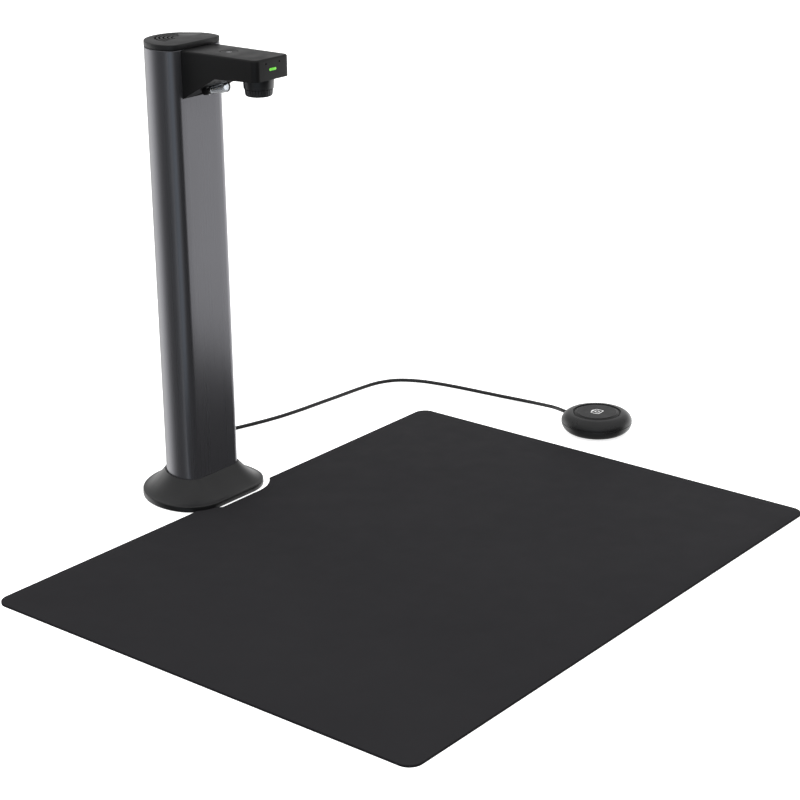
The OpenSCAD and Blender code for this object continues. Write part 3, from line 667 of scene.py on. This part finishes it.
def build_column():
    """The extruded column, with its window for the arm and its window for the ports."""
    low, high, _ = node_box("column_shell")
    wall = 2 * MM
    window_x = 14 * MM
    rear_z = (24 * MM, 46 * MM)
    front_z = node_box("arm_shell")[0].z + 3 * MM
    chamfer = 0.35 * MM
    levels = [low.z, rear_z[0], rear_z[1], front_z, high.z - chamfer, high.z]

    def outline(inset):
        """Outline points with stops at the windows' sides."""
        points = d_points(COLUMN_D, inset)
        r = COLUMN_D[0] - inset
        for side in (-1, 1):
            stop = (side * window_x, COLUMN_D[2] + math.sqrt(r * r - window_x ** 2))
            points[stops[side]] = stop
        front = COLUMN_D[3] + inset
        return points + [(-window_x, front), (window_x, front)]

    base = d_points(COLUMN_D)
    rear = [i for i, p in enumerate(base) if p[1] > 0]
    stops = {side: min(rear, key=lambda i: abs(base[i][0] - side * window_x)) for side in (-1, 1)}
    outer, inner, top = outline(0), outline(wall), outline(chamfer)
    n = len(outer)

    def solid(i, k):
        if not 0 <= k < len(levels) - 1:
            return False
        i %= n
        behind = stops[1] <= i < stops[-1] and k == 1
        before = i == n - 2 and k >= 3
        return not (behind or before)

    def at(i, k, inside):
        shape = inner if inside else (top if k == len(levels) - 1 else outer)
        return (*shape[i % n], levels[k])

    points, faces = [], []

    def quad(*corners):
        faces.append(tuple(range(len(points), len(points) + 4)))
        points.extend(corners)

    for k in range(len(levels) - 1):
        for i in range(n):
            if not solid(i, k):
                continue
            for inside in (False, True):
                quad(*(at(*p, inside) for p in ((i, k), (i + 1, k), (i + 1, k + 1), (i, k + 1))))
            edges = {(i - 1, k): ((i, k), (i, k + 1)), (i + 1, k): ((i + 1, k), (i + 1, k + 1)),
                     (i, k - 1): ((i, k), (i + 1, k)), (i, k + 1): ((i, k + 1), (i + 1, k + 1))}
            for beside, (p, q) in edges.items():
                if not solid(*beside):
                    quad(at(*p, False), at(*q, False), at(*q, True), at(*p, True))
    finish(mesh_from("column_extrusion", points, faces), COLUMN, "gunmetal", "column_shell")


def build_port_panel():
    """The curved panel round the ports and the flange inside it."""
    low, high, _ = node_box("port_panel")
    half, gap, flat_y, bottom, top = 13.8 * MM, 0.3 * MM, 15.2 * MM, 24.2 * MM, 45.8 * MM
    r = COLUMN_D[0] - gap
    edge_angle = math.degrees(math.acos(half / r))
    outline = arc(0, COLUMN_D[2], r, edge_angle, 180 - edge_angle, 24) + [(-half, flat_y), (half, flat_y)]
    panel = bevel(prism("rear_ports", outline, bottom, top), 0.5 * MM, 3, 40)
    flange = rounded_box("flange", low, (high.x, 15.4 * MM, high.z), 0.4 * MM)
    inlet_low, inlet_high, inlet = node_box("usb_socket")
    width, height = inlet_high.x - inlet_low.x + 0.8 * MM, inlet_high.z - inlet_low.z + 0.8 * MM
    jack = node_box("remote_socket")[2]
    holes = {
        "cut_slot": rounded_rectangle(inlet.x, inlet.z, width, height, 0.9 * MM),
        "cut_jack": circle(jack.x, jack.z, 3.7 * MM, 24),
    }
    for part in (panel, flange):
        carve(part, *(prism(name, hole, 10 * MM, 30 * MM, "Y") for name, hole in holes.items()))
    finish(join("rear_port_panel", [panel, flange]), DEEP_BLACK, "black_plastic", "port_panel")


# ---------------- cap

def build_cap():
    """The cap, with five curved sound slots and a shallow dish near its back edge."""
    column_top = node_box("column_shell")[1].z
    start = column_top + 0.7 * MM
    top = node_box("top_cap")[1].z + 0.8 * MM
    rings = [d_ring(COLUMN_D, column_top, 1.2 * MM)]
    for inset, z in ((1.2, 0), (0.35, 0), (0.1, 0.1), (0, 0.35)):
        rings.append(d_ring(COLUMN_D, start + z * MM, inset * MM))
    cap = loft("cap", rings + round_edge(COLUMN_D, top, 0.55 * MM))
    slots_x, slots_y, half = 3 * MM, -0.5 * MM, 0.7 * MM
    cutters = []
    for r in (6, 9, 12, 15, 18):
        outline = arc(slots_x, slots_y, r * MM + half, 50, 190, 40)
        outline += arc(slots_x, slots_y, r * MM - half, 190, 50, 40)
        cutters.append(prism("slot", outline, column_top - MM, top + MM))
    ball_r, dish_r, dish_x, dish_y = 110 * MM, 9.3 * MM, 19.3 * MM, 6 * MM
    turns = [math.radians(a / 4) for a in range(41)]
    ball = [(ball_r * math.sin(t), -ball_r * math.cos(t)) for t in turns]
    cutters.append(revolve("dish", ball, (dish_x, dish_y, top + math.sqrt(ball_r ** 2 - dish_r ** 2))))
    cap = finish(carve(cap, *cutters), CAP_BLACK, "soft_black", "top_cap", angle=24)
    # Painted shade: the dish's faces are given a deeper black, standing in for the dark reflection that the
    # dish shows.
    shallow = 0.002 * MM
    paint_shade(cap, lambda x, y, z: math.hypot(x - dish_x, y - dish_y) < dish_r and top - MM < z < top - shallow)


# ---------------- arm

def arm_outline(inset=0.0, behind=0.0):
    """The arm from above, with round front corners; behind makes it longer at the back."""
    low, high, _ = node_box("arm_shell")
    x, front, back, r = high.x - inset, low.y + inset, high.y + behind, 4.6 * MM - inset
    return ([(-x, back)] + arc(-x + r, front + r, r, 180, 270, 10)
            + arc(x - r, front + r, r, 270, 360, 10) + [(x, back)])


def arm_side():
    """The arm from the side, in (y, z), with the knee where the slope ends."""
    low, high, _ = node_box("arm_shell")
    front_bottom = high.z - 15.3 * MM
    knee = (-54 * MM, front_bottom - 1.7 * MM)
    return [(high.y, high.z), (low.y, high.z), (low.y, front_bottom), knee, (high.y, low.z)]


def along(a, b, y):
    """The point at y on the line through a and b, both in (y, z)."""
    return (y, a[1] + (b[1] - a[1]) * (y - a[0]) / (b[0] - a[0]))


def build_arm():
    """The arm's hollow shell, with round upper edges and finer lower ones, and its green light."""
    low, high, _ = node_box("arm_shell")
    wall, top_r, low_r, beyond = 2 * MM, 1.4 * MM, 1.2 * MM, 4 * MM
    levels = [(low.z - MM, 0)]
    levels += [(high.z - top_r * (1 - math.sin(t)), top_r * (1 - math.cos(t))) for t in QUARTER]
    rings = [[Vector((x, y, z)) for x, y in arm_outline(inset, beyond)] for z, inset in levels]
    front_low, knee, root = arm_side()[2:]
    front, back, over = low.y - beyond, high.y + 2 * beyond, high.z + beyond
    side = [(back, over), (front, over), along(front_low, knee, front), knee, along(knee, root, back)]
    arm = loft("arm", rings)
    arm = carve(arm, prism("side", side, low.x - MM, high.x + MM, "X"), operation="INTERSECT")
    arm = bevel(arm, low_r, 4, 28)
    inside = prism("inside", arm_outline(wall, 3 * beyond), low.z - 5 * MM, high.z - wall)
    rear = rectangle(low.x - MM, high.y, high.x + MM, back)
    rear = prism("rear", rear, low.z - 9 * MM, high.z + MM)
    button = node_box("head_button")[2]
    bore = circle(button.x, button.y, BUTTON_R + 0.25 * MM, 48)
    bore = prism("bore", bore, high.z - 4 * MM, high.z + MM)
    light_low, light_high, light = node_box("status_light")
    width, height = light_high.x - light_low.x, light_high.z - light_low.z
    pill = rounded_rectangle(0, light.z, width, height, 0.99 * MM, 8)
    cutters = [inside, rear, bore, prism("window", pill, low.y - MM, low.y + 3 * MM, "Y")]
    hole_x, hole_z, hole_r = 6.9 * MM, high.z - 3.5 * MM, 0.7 * MM
    for x in (-hole_x, hole_x):
        hole = circle(x, hole_z, hole_r, 24)
        cutters.append(prism("microphone", hole, low.y - MM, low.y + 3 * MM, "Y"))
    finish(carve(arm, *cutters), ARM_BLACK, "arm_black", "arm_shell", angle=24)

    lens = bevel(prism("status", pill, low.y + 0.05 * MM, low.y + 2.4 * MM, "Y"), 0.25 * MM, 3, 60)
    finish(lens, GREEN, "green_light", "status_light")


def build_underside():
    """The plate under the arm, with the lens hole and the trough that the lamp lies in."""
    low, high, _ = node_box("arm_underside")
    arm_low, arm_high, _ = node_box("arm_shell")
    lower = arm_side()[2:]

    def layer(name, thick, x0, x1):
        """A layer on the arm's lower edge, from x0 to x1."""
        return prism(name, lower + [(y, z + thick) for y, z in reversed(lower)], x0, x1, "X")

    plate = layer("underside", 2.2 * MM, arm_low.x + MM, arm_high.x - MM)
    plan = prism("plan", arm_outline(2.1 * MM), arm_low.z - MM, arm_high.z)
    carve(plate, plan, operation="INTERSECT")
    boss = lamp_form("boss", 2.1 * MM)
    carve(boss, layer("above", 8 * MM, low.x, high.x), operation="INTERSECT")
    carve(plate, boss, operation="UNION")
    lens = node_box("lens_housing")[2]
    socket_low, socket_high, socket = node_box("lamp_socket")
    lamp_y, half = lamp_axis()[2][1], 2.2 * MM
    slot = rectangle(socket_low.x - 0.2 * MM, lamp_y - half, socket_high.x - 0.5 * MM, lamp_y + half)
    cutters = [
        lamp_form("trough", 0.6 * MM),
        prism("hole", circle(lens.x, lens.y, 11.6 * MM, 72), low.z, high.z + 20 * MM),
        prism("slot", slot, socket.z, high.z + MM),
    ]
    screw_x, screw_y = 8 * MM, -60 * MM
    for x in (-screw_x, screw_x):
        for name, r, top in (("screw", 1.4, high.z + 9 * MM), ("sink", 2.5, arm_high.z - 15 * MM)):
            cutters.append(prism(name, circle(x, screw_y, r * MM, 24), low.z, top))
    finish(carve(plate, *cutters), ARM_BLACK, "arm_black", "arm_underside", angle=24)


def build_head_button():
    """Round push button with a dished top and a small generic mark."""
    low, high, middle = node_box("head_button")
    x, y, stem_r, dish_r, dish_depth = middle.x, middle.y, 1.5 * MM, 5.6 * MM, 0.5 * MM
    r = BUTTON_R / MM
    profile = [(0, low.z), (stem_r, low.z), (stem_r, high.z - 3.3 * MM)]
    profile += at_level(high.z, [(7.6, -3.3), (7.6, -2.1), (r, -2.1), (r, -0.3), (r - 0.1, -0.1)])
    profile.append((BUTTON_R - 0.3 * MM, high.z))
    for k in range(9):
        t = 1 - k / 8
        profile.append((dish_r * t, high.z - dish_depth * (1 - t * t)))
    button = revolve("round_button", profile, (x, y, 0), steps=72)
    finish(button, CAP_BLACK, "arm_black", "head_button", body=HEAD_KEY)
    floor = high.z - dish_depth
    base = floor - 0.1 * MM
    ring = slab("mark", [circle(x, y, r * MM, 36) for r in (1.9, 1.5)], base, floor + 0.13 * MM, 0.03 * MM)
    dot = slab("dot", [circle(x, y, 0.7 * MM, 24)], base, floor + 0.06 * MM, 0.02 * MM)
    finish(join("button_mark", [ring, dot]), GREY_PRINT, "lamp_white", body=HEAD_KEY)


# ---------------- camera and lamp

def ring_angles(count):
    return [math.tau * k / count for k in range(count)]


def build_lens():
    """The lens barrel, and the ribbed focus ring that turns at its lower end."""
    low, high, middle = node_box("lens_housing")
    profile = at_level(low.z, [(8, 0), (10.3, 0), (10.68, 0.12), (10.8, 0.5), (11.3, 9.6), (11.9, 9.6)])
    profile += at_level(low.z, [(11.9, 11), (9, 11)]) + [(9 * MM, high.z), (5.5 * MM, high.z)]
    profile += at_level(low.z, [(5.5, 13), (8, 13)])
    housing = revolve("lens_barrel", profile, (middle.x, middle.y, 0), closed=True)
    finish(housing, LENS_BLACK, "black_plastic", "lens_housing")

    low, high, middle = node_box("focus_ring")
    ribs, per_rib, inner, depth = 30, 12, 8 * MM, 0.5 * MM
    angles = ring_angles(ribs * per_rib)
    rings = [[Vector((inner * math.cos(a), inner * math.sin(a), z)) for a in angles]
             for z in (high.z, low.z)]
    outside = [(0, 8.6), (0.02, 8.9), (0.08, 9.35), (0.18, 9.7), (0.3, 9.85), (0.9, 10.2)]
    for share, r in outside + [(0.95, 10.25), (1, 10)]:
        z = low.z + share * (high.z - low.z)
        groove = depth * min(1.0, max(0.0, (share - 0.02) / 0.2)) * (1 if share < 0.93 else 0.0)
        ring = []
        for k, a in enumerate(angles):
            phase = (k % per_rib) / per_rib - 0.5
            cut = groove * max(0.0, math.cos(phase * math.tau * 1.4)) if abs(phase) < 0.18 else 0.0
            radius = r * MM - cut
            ring.append(Vector((radius * math.cos(a), radius * math.sin(a), z)))
        rings.append(ring)
    ring = loft("ribbed_ring", rings, closed=True)
    ring.data.transform(Matrix.Translation((middle.x, middle.y, 0)))
    finish(ring, LENS_BLACK, "black_plastic", "focus_ring", body=FOCUS, angle=35)


def lamp_axis():
    """Places along the lamp (socket's start, tube's start, dome's start and end), radii, centre."""
    low, high, middle = node_box("lamp_tube")
    socket_low = node_box("lamp_socket")[0]
    radii = 2.9 * MM, 3.1 * MM, (high.z - low.z) / 2
    return (socket_low.x, low.x, high.x - 3 * MM, high.x), radii, (0, middle.y, middle.z)


def lamp_form(name, extra):
    """The lamp's whole outside made larger, for the trough it lies in."""
    (start, neck, dome, end), (r0, r1, r2), centre = lamp_axis()
    profile = [(0, start - extra), (r0 + extra, start - extra), (r1 + extra, neck), (r2 + extra, dome),
               (r2 + extra, end + extra), (0, end + extra)]
    return revolve(name, profile, centre, "X", 60)


def build_lamp():
    """Clear cover that widens to a domed end, its black socket, and the strip of diodes inside."""
    (start, neck, dome, end), (r0, r1, r2), centre = lamp_axis()
    wall, edge, floor, seat = 1.6 * MM, 0.25 * MM, start + 0.8 * MM, neck - 0.02 * MM
    turns = [math.radians(a) for a in range(0, 91, 9)]
    profile = [(r1 - wall, neck), (r1 - 0.1 * MM, neck), (r1, neck + 0.1 * MM)]
    profile += [(r2 * math.cos(t), dome + (end - dome) * math.sin(t)) for t in turns]
    profile += [(0, dome), (r2 - wall - 0.5 * MM, dome), (r2 - wall, dome - 0.5 * MM)]
    tube = revolve("lamp_cover", profile, centre, "X", 64, closed=True)
    finish(tube, CLEAR_TUBE, "clear_tube", "lamp_tube")

    profile = [(0, start), (r0 - 2 * edge, start), (r0 - 0.5 * edge, start + 0.5 * edge)]
    profile += [(r0, start + 2 * edge), (r1, neck - edge), (r1 - edge, seat)]
    profile += [(r1 - wall, seat), (r1 - wall, floor), (0, floor)]
    holder = revolve("lamp_collar", profile, centre, "X", 64)
    top, half = node_box("lamp_socket")[1].z, 2 * MM
    stalk = rounded_box("stalk", (start + 0.1 * MM, centre[1] - half, centre[2] + half),
                        (neck - 0.7 * MM, centre[1] + half, top), 0.3 * MM)
    finish(join("lamp_holder", [holder, stalk]), DEEP_BLACK, "black_plastic", "lamp_socket")

    knee, root = arm_side()[3:]
    slope = math.atan2(knee[1] - root[1], root[0] - knee[0])
    strip = rounded_box("strip", (floor, -1.1 * MM, 0.2 * MM), (8 * MM, 1.1 * MM, 0.8 * MM), 0.12 * MM)
    strip.data.materials.append(LAMP_BOARD)
    parts = [strip]
    for x in (-3.5, 0, 3.5, 7):
        low, high = ((x - 1.1) * MM, -0.9 * MM, -0.3 * MM), ((x + 1.1) * MM, 0.9 * MM, 0.2 * MM)
        chip = rounded_box("chip", low, high, 0.1 * MM)
        chip.data.materials.append(WHITE_PRINT)
        drop = at_level(0, [(0, -0.55), (0.4, -0.5), (0.75, -0.4), (0.85, -0.3), (0, -0.3)])
        bead = revolve("bead", drop, (x * MM, 0, 0), "Z", 24)
        bead.data.materials.append(PHOSPHOR)
        parts += [chip, bead]
    lamp = join("diode_strip", parts)
    lamp.data.transform(Matrix.Translation(centre) @ Matrix.Rotation(-slope, 4, "X"))
    finish(lamp, None, "lamp_white", "lamp_board")


# ---------------- hand button

def build_puck():
    """The hand button: the two halves of its case, the disc that is pressed, and its sole."""
    low, high, middle = node_box("puck_cover")
    centre, top, r = (middle.x, middle.y, 0), high.z, (high.x - low.x) / 2
    base_z, rim_z, lip_z = node_box("puck_base")[0].z, 10 * MM, high.z - 1.9 * MM
    rest_r, flat_r, wall, seam = 19.5 * MM, 20.7 * MM, 2 * MM, 0.12 * MM

    def lower(t, inset=0.0):
        t = math.radians(t)
        return (rest_r + (r - rest_r) * math.sin(t) - inset, rim_z - (rim_z - base_z) * math.cos(t))

    def upper(t):
        t = math.radians(t)
        return (flat_r + (r - flat_r) * math.cos(t), rim_z + (top - rim_z) * math.sin(t))

    profile = [(0, base_z)] + [lower(t) for t in range(0, 86, 5)] + [(r - 0.05 * MM, rim_z - 0.35 * MM)]
    profile += [(r - 0.3 * MM, rim_z - seam), (r - wall, rim_z - seam)]
    profile += [(x, z + wall) for x, z in (lower(t, wall) for t in range(75, -1, -5))] + [(0, base_z + wall)]
    base = revolve("puck_bottom", profile, centre, steps=128)
    finish(base, PUCK_BLACK, "soft_black", "puck_base")

    profile = [(r - wall, rim_z), (r - 0.3 * MM, rim_z), (r - 0.05 * MM, rim_z + 0.25 * MM)]
    profile += [upper(t) for t in range(5, 81, 5)] + [(flat_r + 0.35 * MM, top - 0.06 * MM), (flat_r, top)]
    profile += at_level(top, [(20.25, 0), (20.1, -0.12), (20.1, -0.9), (19.3, -0.9), (19.3, -1.9)])
    profile += [(r - wall - 3.4 * MM, lip_z), (r - wall - MM, rim_z + 3 * MM)]
    cover = revolve("puck_top", profile, centre, steps=128, closed=True)
    finish(cover, PUCK_BLACK, "soft_black", "puck_cover")

    low, high, _ = node_box("puck_button")
    shaded_edge_r = 16.4 * MM
    profile = [(0, low.z), (2 * MM, low.z)]
    profile += at_level(lip_z, [(2, -2), (20.4, -2), (20.4, -0.3), (19, -0.3)])
    profile += at_level(high.z, [(19, -1.1), (18.8, -0.85), (18.5, -0.75), (17.6, -0.6), (17.3, -0.45)])
    profile += at_level(high.z, [(16.5, -0.35), (16.4, -0.15), (16.25, 0), (0, 0)])
    disc = revolve("press_disc", profile, centre, steps=128)
    finish(disc, DISC_BLACK, "button_black", "puck_button", body=HAND_KEY, angle=30)
    # Painted shade: the disc's bevelled edge and lip outside this radius are given a deeper black, standing
    # in for the shade in the groove round the disc.
    paint_shade(disc, lambda x, y, z: math.hypot(x - centre[0], y - centre[1]) > shaded_edge_r - 0.1 * MM)
    build_icon(centre[0], centre[1], high.z)

    low, high, _ = node_box("puck_pad")
    outer_r, inner_r, edge = (high.x - low.x) / 2, 9 * MM, 0.2 * MM
    profile = [(inner_r, high.z), (inner_r, low.z + edge), (inner_r + edge, low.z), (outer_r - edge, low.z),
               (outer_r, low.z + edge), (outer_r, high.z)]
    finish(revolve("puck_sole", profile, centre, closed=True), PAD, "rubber_pad", "puck_pad")


def build_icon(x, y, top):
    """A plain picture-frame mark with a round lens, printed on the disc."""
    middle_y = y - 0.3 * MM
    shapes = {
        "frame_mark": [rounded_rectangle(x, middle_y, 10 * MM, 8 * MM, 1.9 * MM),
                       rounded_rectangle(x, middle_y, 8.6 * MM, 6.6 * MM, 1.2 * MM)],
        "lens_mark": [circle(x, middle_y, r * MM, 36) for r in (2.1, 1.45)],
        "hump": [[(x + a * MM, y + b * MM) for a, b in ((-2.2, 3.6), (2.2, 3.6), (1.4, 4.7), (-1.4, 4.7))]],
    }
    low, high, edge = top - 0.1 * MM, top + 0.06 * MM, 0.02 * MM
    marks = [slab(name, loops, low, high, edge) for name, loops in shapes.items()]
    finish(join("disc_mark", marks), WHITE_PRINT, "lamp_white", body=HAND_KEY)


def build_press_parts():
    """The disc's coil spring and the switch's plunger, each with a mesh of its own."""
    low, high, middle = node_box("puck_spring")
    wire_r, turns, steps = 0.45 * MM, 4, 144
    coil_r = (high.x - low.x) / 2 - wire_r
    rise = high.z - low.z - 2 * wire_r
    upward = Vector((0, 0, 1))
    rings = []
    for i in range(steps + 1):
        a = math.tau * turns * i / steps
        out = Vector((math.cos(a), math.sin(a), 0))
        place = Vector((middle.x, middle.y, low.z + wire_r + rise * i / steps)) + coil_r * out
        rings.append([place + wire_r * (math.cos(b) * out + math.sin(b) * upward) for b in ring_angles(12)])
    spring = finish(loft("coil_spring", rings), STEEL, "steel", "puck_spring")
    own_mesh(spring)

    low, high, middle = node_box("puck_switch")
    bore_z, edge, plunger_r = low.z + 2.4 * MM, 0.15 * MM, 1.6 * MM
    body = rounded_box("switch_body", low, (high.x, high.y, low.z + 4.4 * MM), 0.3 * MM)
    bore = circle(middle.x, middle.y, plunger_r + 0.1 * MM, 36)
    body = carve(body, prism("bore", bore, bore_z - 0.1 * MM, high.z))
    finish(body, INNER, "black_plastic", "puck_switch", angle=30)
    profile = [(0, bore_z), (plunger_r, bore_z), (plunger_r, high.z - edge)]
    profile += [(plunger_r - edge, high.z), (0, high.z)]
    plunger = revolve("switch_plunger", profile, (middle.x, middle.y, 0), "Z", 32)
    finish(plunger, INNER, "black_plastic", "puck_switch")
    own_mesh(plunger)


def build_gland():
    """Short ribbed grommet where the cord enters the hand button."""
    puck = node_box("puck_base")[2]
    end = Vector(ROUTE[-1]) * MM
    out = Vector((end.x - puck.x, end.y - puck.y, 0))
    profile = at_level(0, [(0, 24.8), (2.3, 24.8), (2.3, 25.8), (2.1, 25.8), (2.1, 29.9), (1.75, 30.0)])
    profile += at_level(0, [(1.75, 30.3), (2.0, 30.4), (2.0, 30.8), (1.7, 30.9)])
    profile += [(1.65 * MM, out.length), (0, out.length)]
    gland = revolve("cord_grommet", profile, (0, 0, 0), "X", 32)
    turn = Matrix.Rotation(math.atan2(out.y, out.x), 4, "Z")
    gland.data.transform(Matrix.Translation((puck.x, puck.y, end.z)) @ turn)
    finish(gland, CORD, "cord_rubber", "puck_gland")


# ---------------- mat

def build_mat():
    """The mat with its round corners and the notch round the foot."""
    low, high, _ = node_box("scan_mat")
    corner = 10 * MM
    notch_r, notch_left, notch_right = 34 * MM, -18.5 * MM, 20 * MM
    left_r, fit = 4 * MM, 0.5 * MM
    notch_y = node_box("foot_cover")[0].y - 3.6 * MM
    centre_y = notch_y + notch_r
    reach = math.degrees(math.asin((centre_y - high.y) / notch_r))
    outline = arc(low.x + corner, low.y + corner, corner, 180, 270, 12)
    outline += arc(high.x - corner, low.y + corner, corner, 270, 360, 12)
    outline += arc(high.x - corner, high.y - corner, corner, 0, 90, 12)
    outline += arc(notch_right, centre_y, notch_r, -reach, -90, 24)
    outline += arc(notch_left, notch_y + left_r, left_r, -90, -168, 10)
    round_foot = [(p.x, p.y) for p in d_ring(FOOT_D, 0, -fit)]
    round_foot = [p for p in round_foot if p[0] < notch_left - left_r and p[1] < high.y]
    outline += sorted(round_foot, reverse=True)
    outline += arc(low.x + corner, high.y - corner, corner, 90, 180, 12)
    mat = slab("reading_mat", [outline], low.z, high.z, 0.35 * MM)
    finish(mat, MAT_TOP, "mat_charcoal", "scan_mat", body=MAT)


# ---------------- studio

# The studio round the object: directions as shares of a turn, counter-clockwise from -X, with
# the brightness and tint there. Between the last two stops it rises to plain white.
PLAIN, COOL = (1, 1, 1), (0.85, 0.97, 1.08)
WALLS = [
    (0.0, 0.3, COOL), (0.03, 0.3, COOL), (0.065, 0.52, COOL), (0.1, 0.47, COOL), (0.13, 0.42, COOL),
    (0.155, 0.28, PLAIN), (0.18, 0.16, PLAIN), (0.21, 0.04, PLAIN), (0.24, 0, PLAIN), (0.335, 0, PLAIN),
    (0.355, 0.35, PLAIN), (0.372, 1.3, PLAIN), (0.4, 1.85, PLAIN), (0.5, 1.9, PLAIN), (0.56, 1.6, PLAIN),
    (0.62, 1.0, PLAIN), (0.69, 1.0, PLAIN), (0.745, 1.85, PLAIN), (0.785, 1.75, PLAIN), (0.815, 1.3, PLAIN),
    (0.845, 0.6, PLAIN), (0.87, 0.22, PLAIN), (0.895, 0.1, PLAIN), (0.92, 0.04, PLAIN), (0.955, 0.04, PLAIN),
    (0.975, 0.1, COOL), (1.0, 1.0, PLAIN),
]
CEILING, DESK = 0.42, 0.25


def build_world():
    """Soft studio surroundings: walls of uneven brightness, an even ceiling and a dark desk."""
    world = bpy.data.worlds.new("studio")
    world.use_nodes = True
    tree = world.node_tree
    direction = add_node(tree, "TexCoord").outputs["Generated"]
    apart = add_node(tree, "SeparateXYZ", Vector=direction).outputs
    angle = add_math(tree, "ARCTAN2", apart["Y"], apart["X"])
    share = add_node(tree, "MapRange", Value=angle, From_Min=-math.pi, From_Max=math.pi)
    walls = add_node(tree, "ValToRGB", Fac=share.outputs["Result"])
    stops = walls.color_ramp.elements
    for place, bright, tint in WALLS[1:-1]:
        stops.new(place)
    for stop, (place, bright, tint) in zip(stops, WALLS):
        stop.color = (*(bright * t for t in tint), 1)
    colour = walls.outputs["Color"]
    for level, start, end in ((CEILING, 0.0, 0.45), (DESK, -0.45, -0.8)):
        height = add_node(tree, "MapRange", Value=apart["Z"], From_Min=start, From_Max=end).outputs["Result"]
        mixed = add_node(tree, "MixRGB", Fac=height, Color1=colour, Color2=(level, level, level, 1))
        colour = mixed.outputs["Color"]
    tree.links.new(colour, tree.nodes["Background"].inputs["Color"])
    bpy.context.scene.world = world


def add_sun(name, direction, strength, spread):
    """A very wide soft light that gives matt surfaces their tone but no glints."""
    data = bpy.data.lights.new(name, "SUN")
    data.energy = strength
    data.angle = math.radians(spread)
    light = new_object(name, data)
    light.rotation_euler = Vector(direction).to_track_quat("-Z", "Y").to_euler()
    light.visible_glossy = False


def build_studio():
    """The pale floor, which throws no light on the object, the surroundings and the soft light."""
    reach = 40
    corners = [(x, y, 0) for x, y in rectangle(-reach, -reach, reach, reach)]
    floor = mesh_from("floor", corners, [(0, 1, 2, 3)])
    shader = Shader("floor_white", grey(0.7, 1), 0.9, specular=0.1)
    shader.vary_colour(shader.noise(2, 2), grey(0.69, 1), grey(0.71, 1))
    shader.set("Emission Color", (1, 1, 1, 1))
    shader.set("Emission Strength", 0.8)
    floor.data.materials.append(shader.material)
    floor.visible_diffuse = False
    floor.visible_glossy = False
    floor.visible_transmission = False
    build_world()
    add_sun("soft_top", (0.25, 0.1, -1), 3.4, 90)


# ---------------- everything

paint_carried_nodes()
build_foot()
build_pad()
build_column()
build_port_panel()
build_cap()
build_arm()
build_underside()
build_head_button()
build_lens()
build_lamp()
build_puck()
build_press_parts()
build_gland()
build_mat()
build_studio()
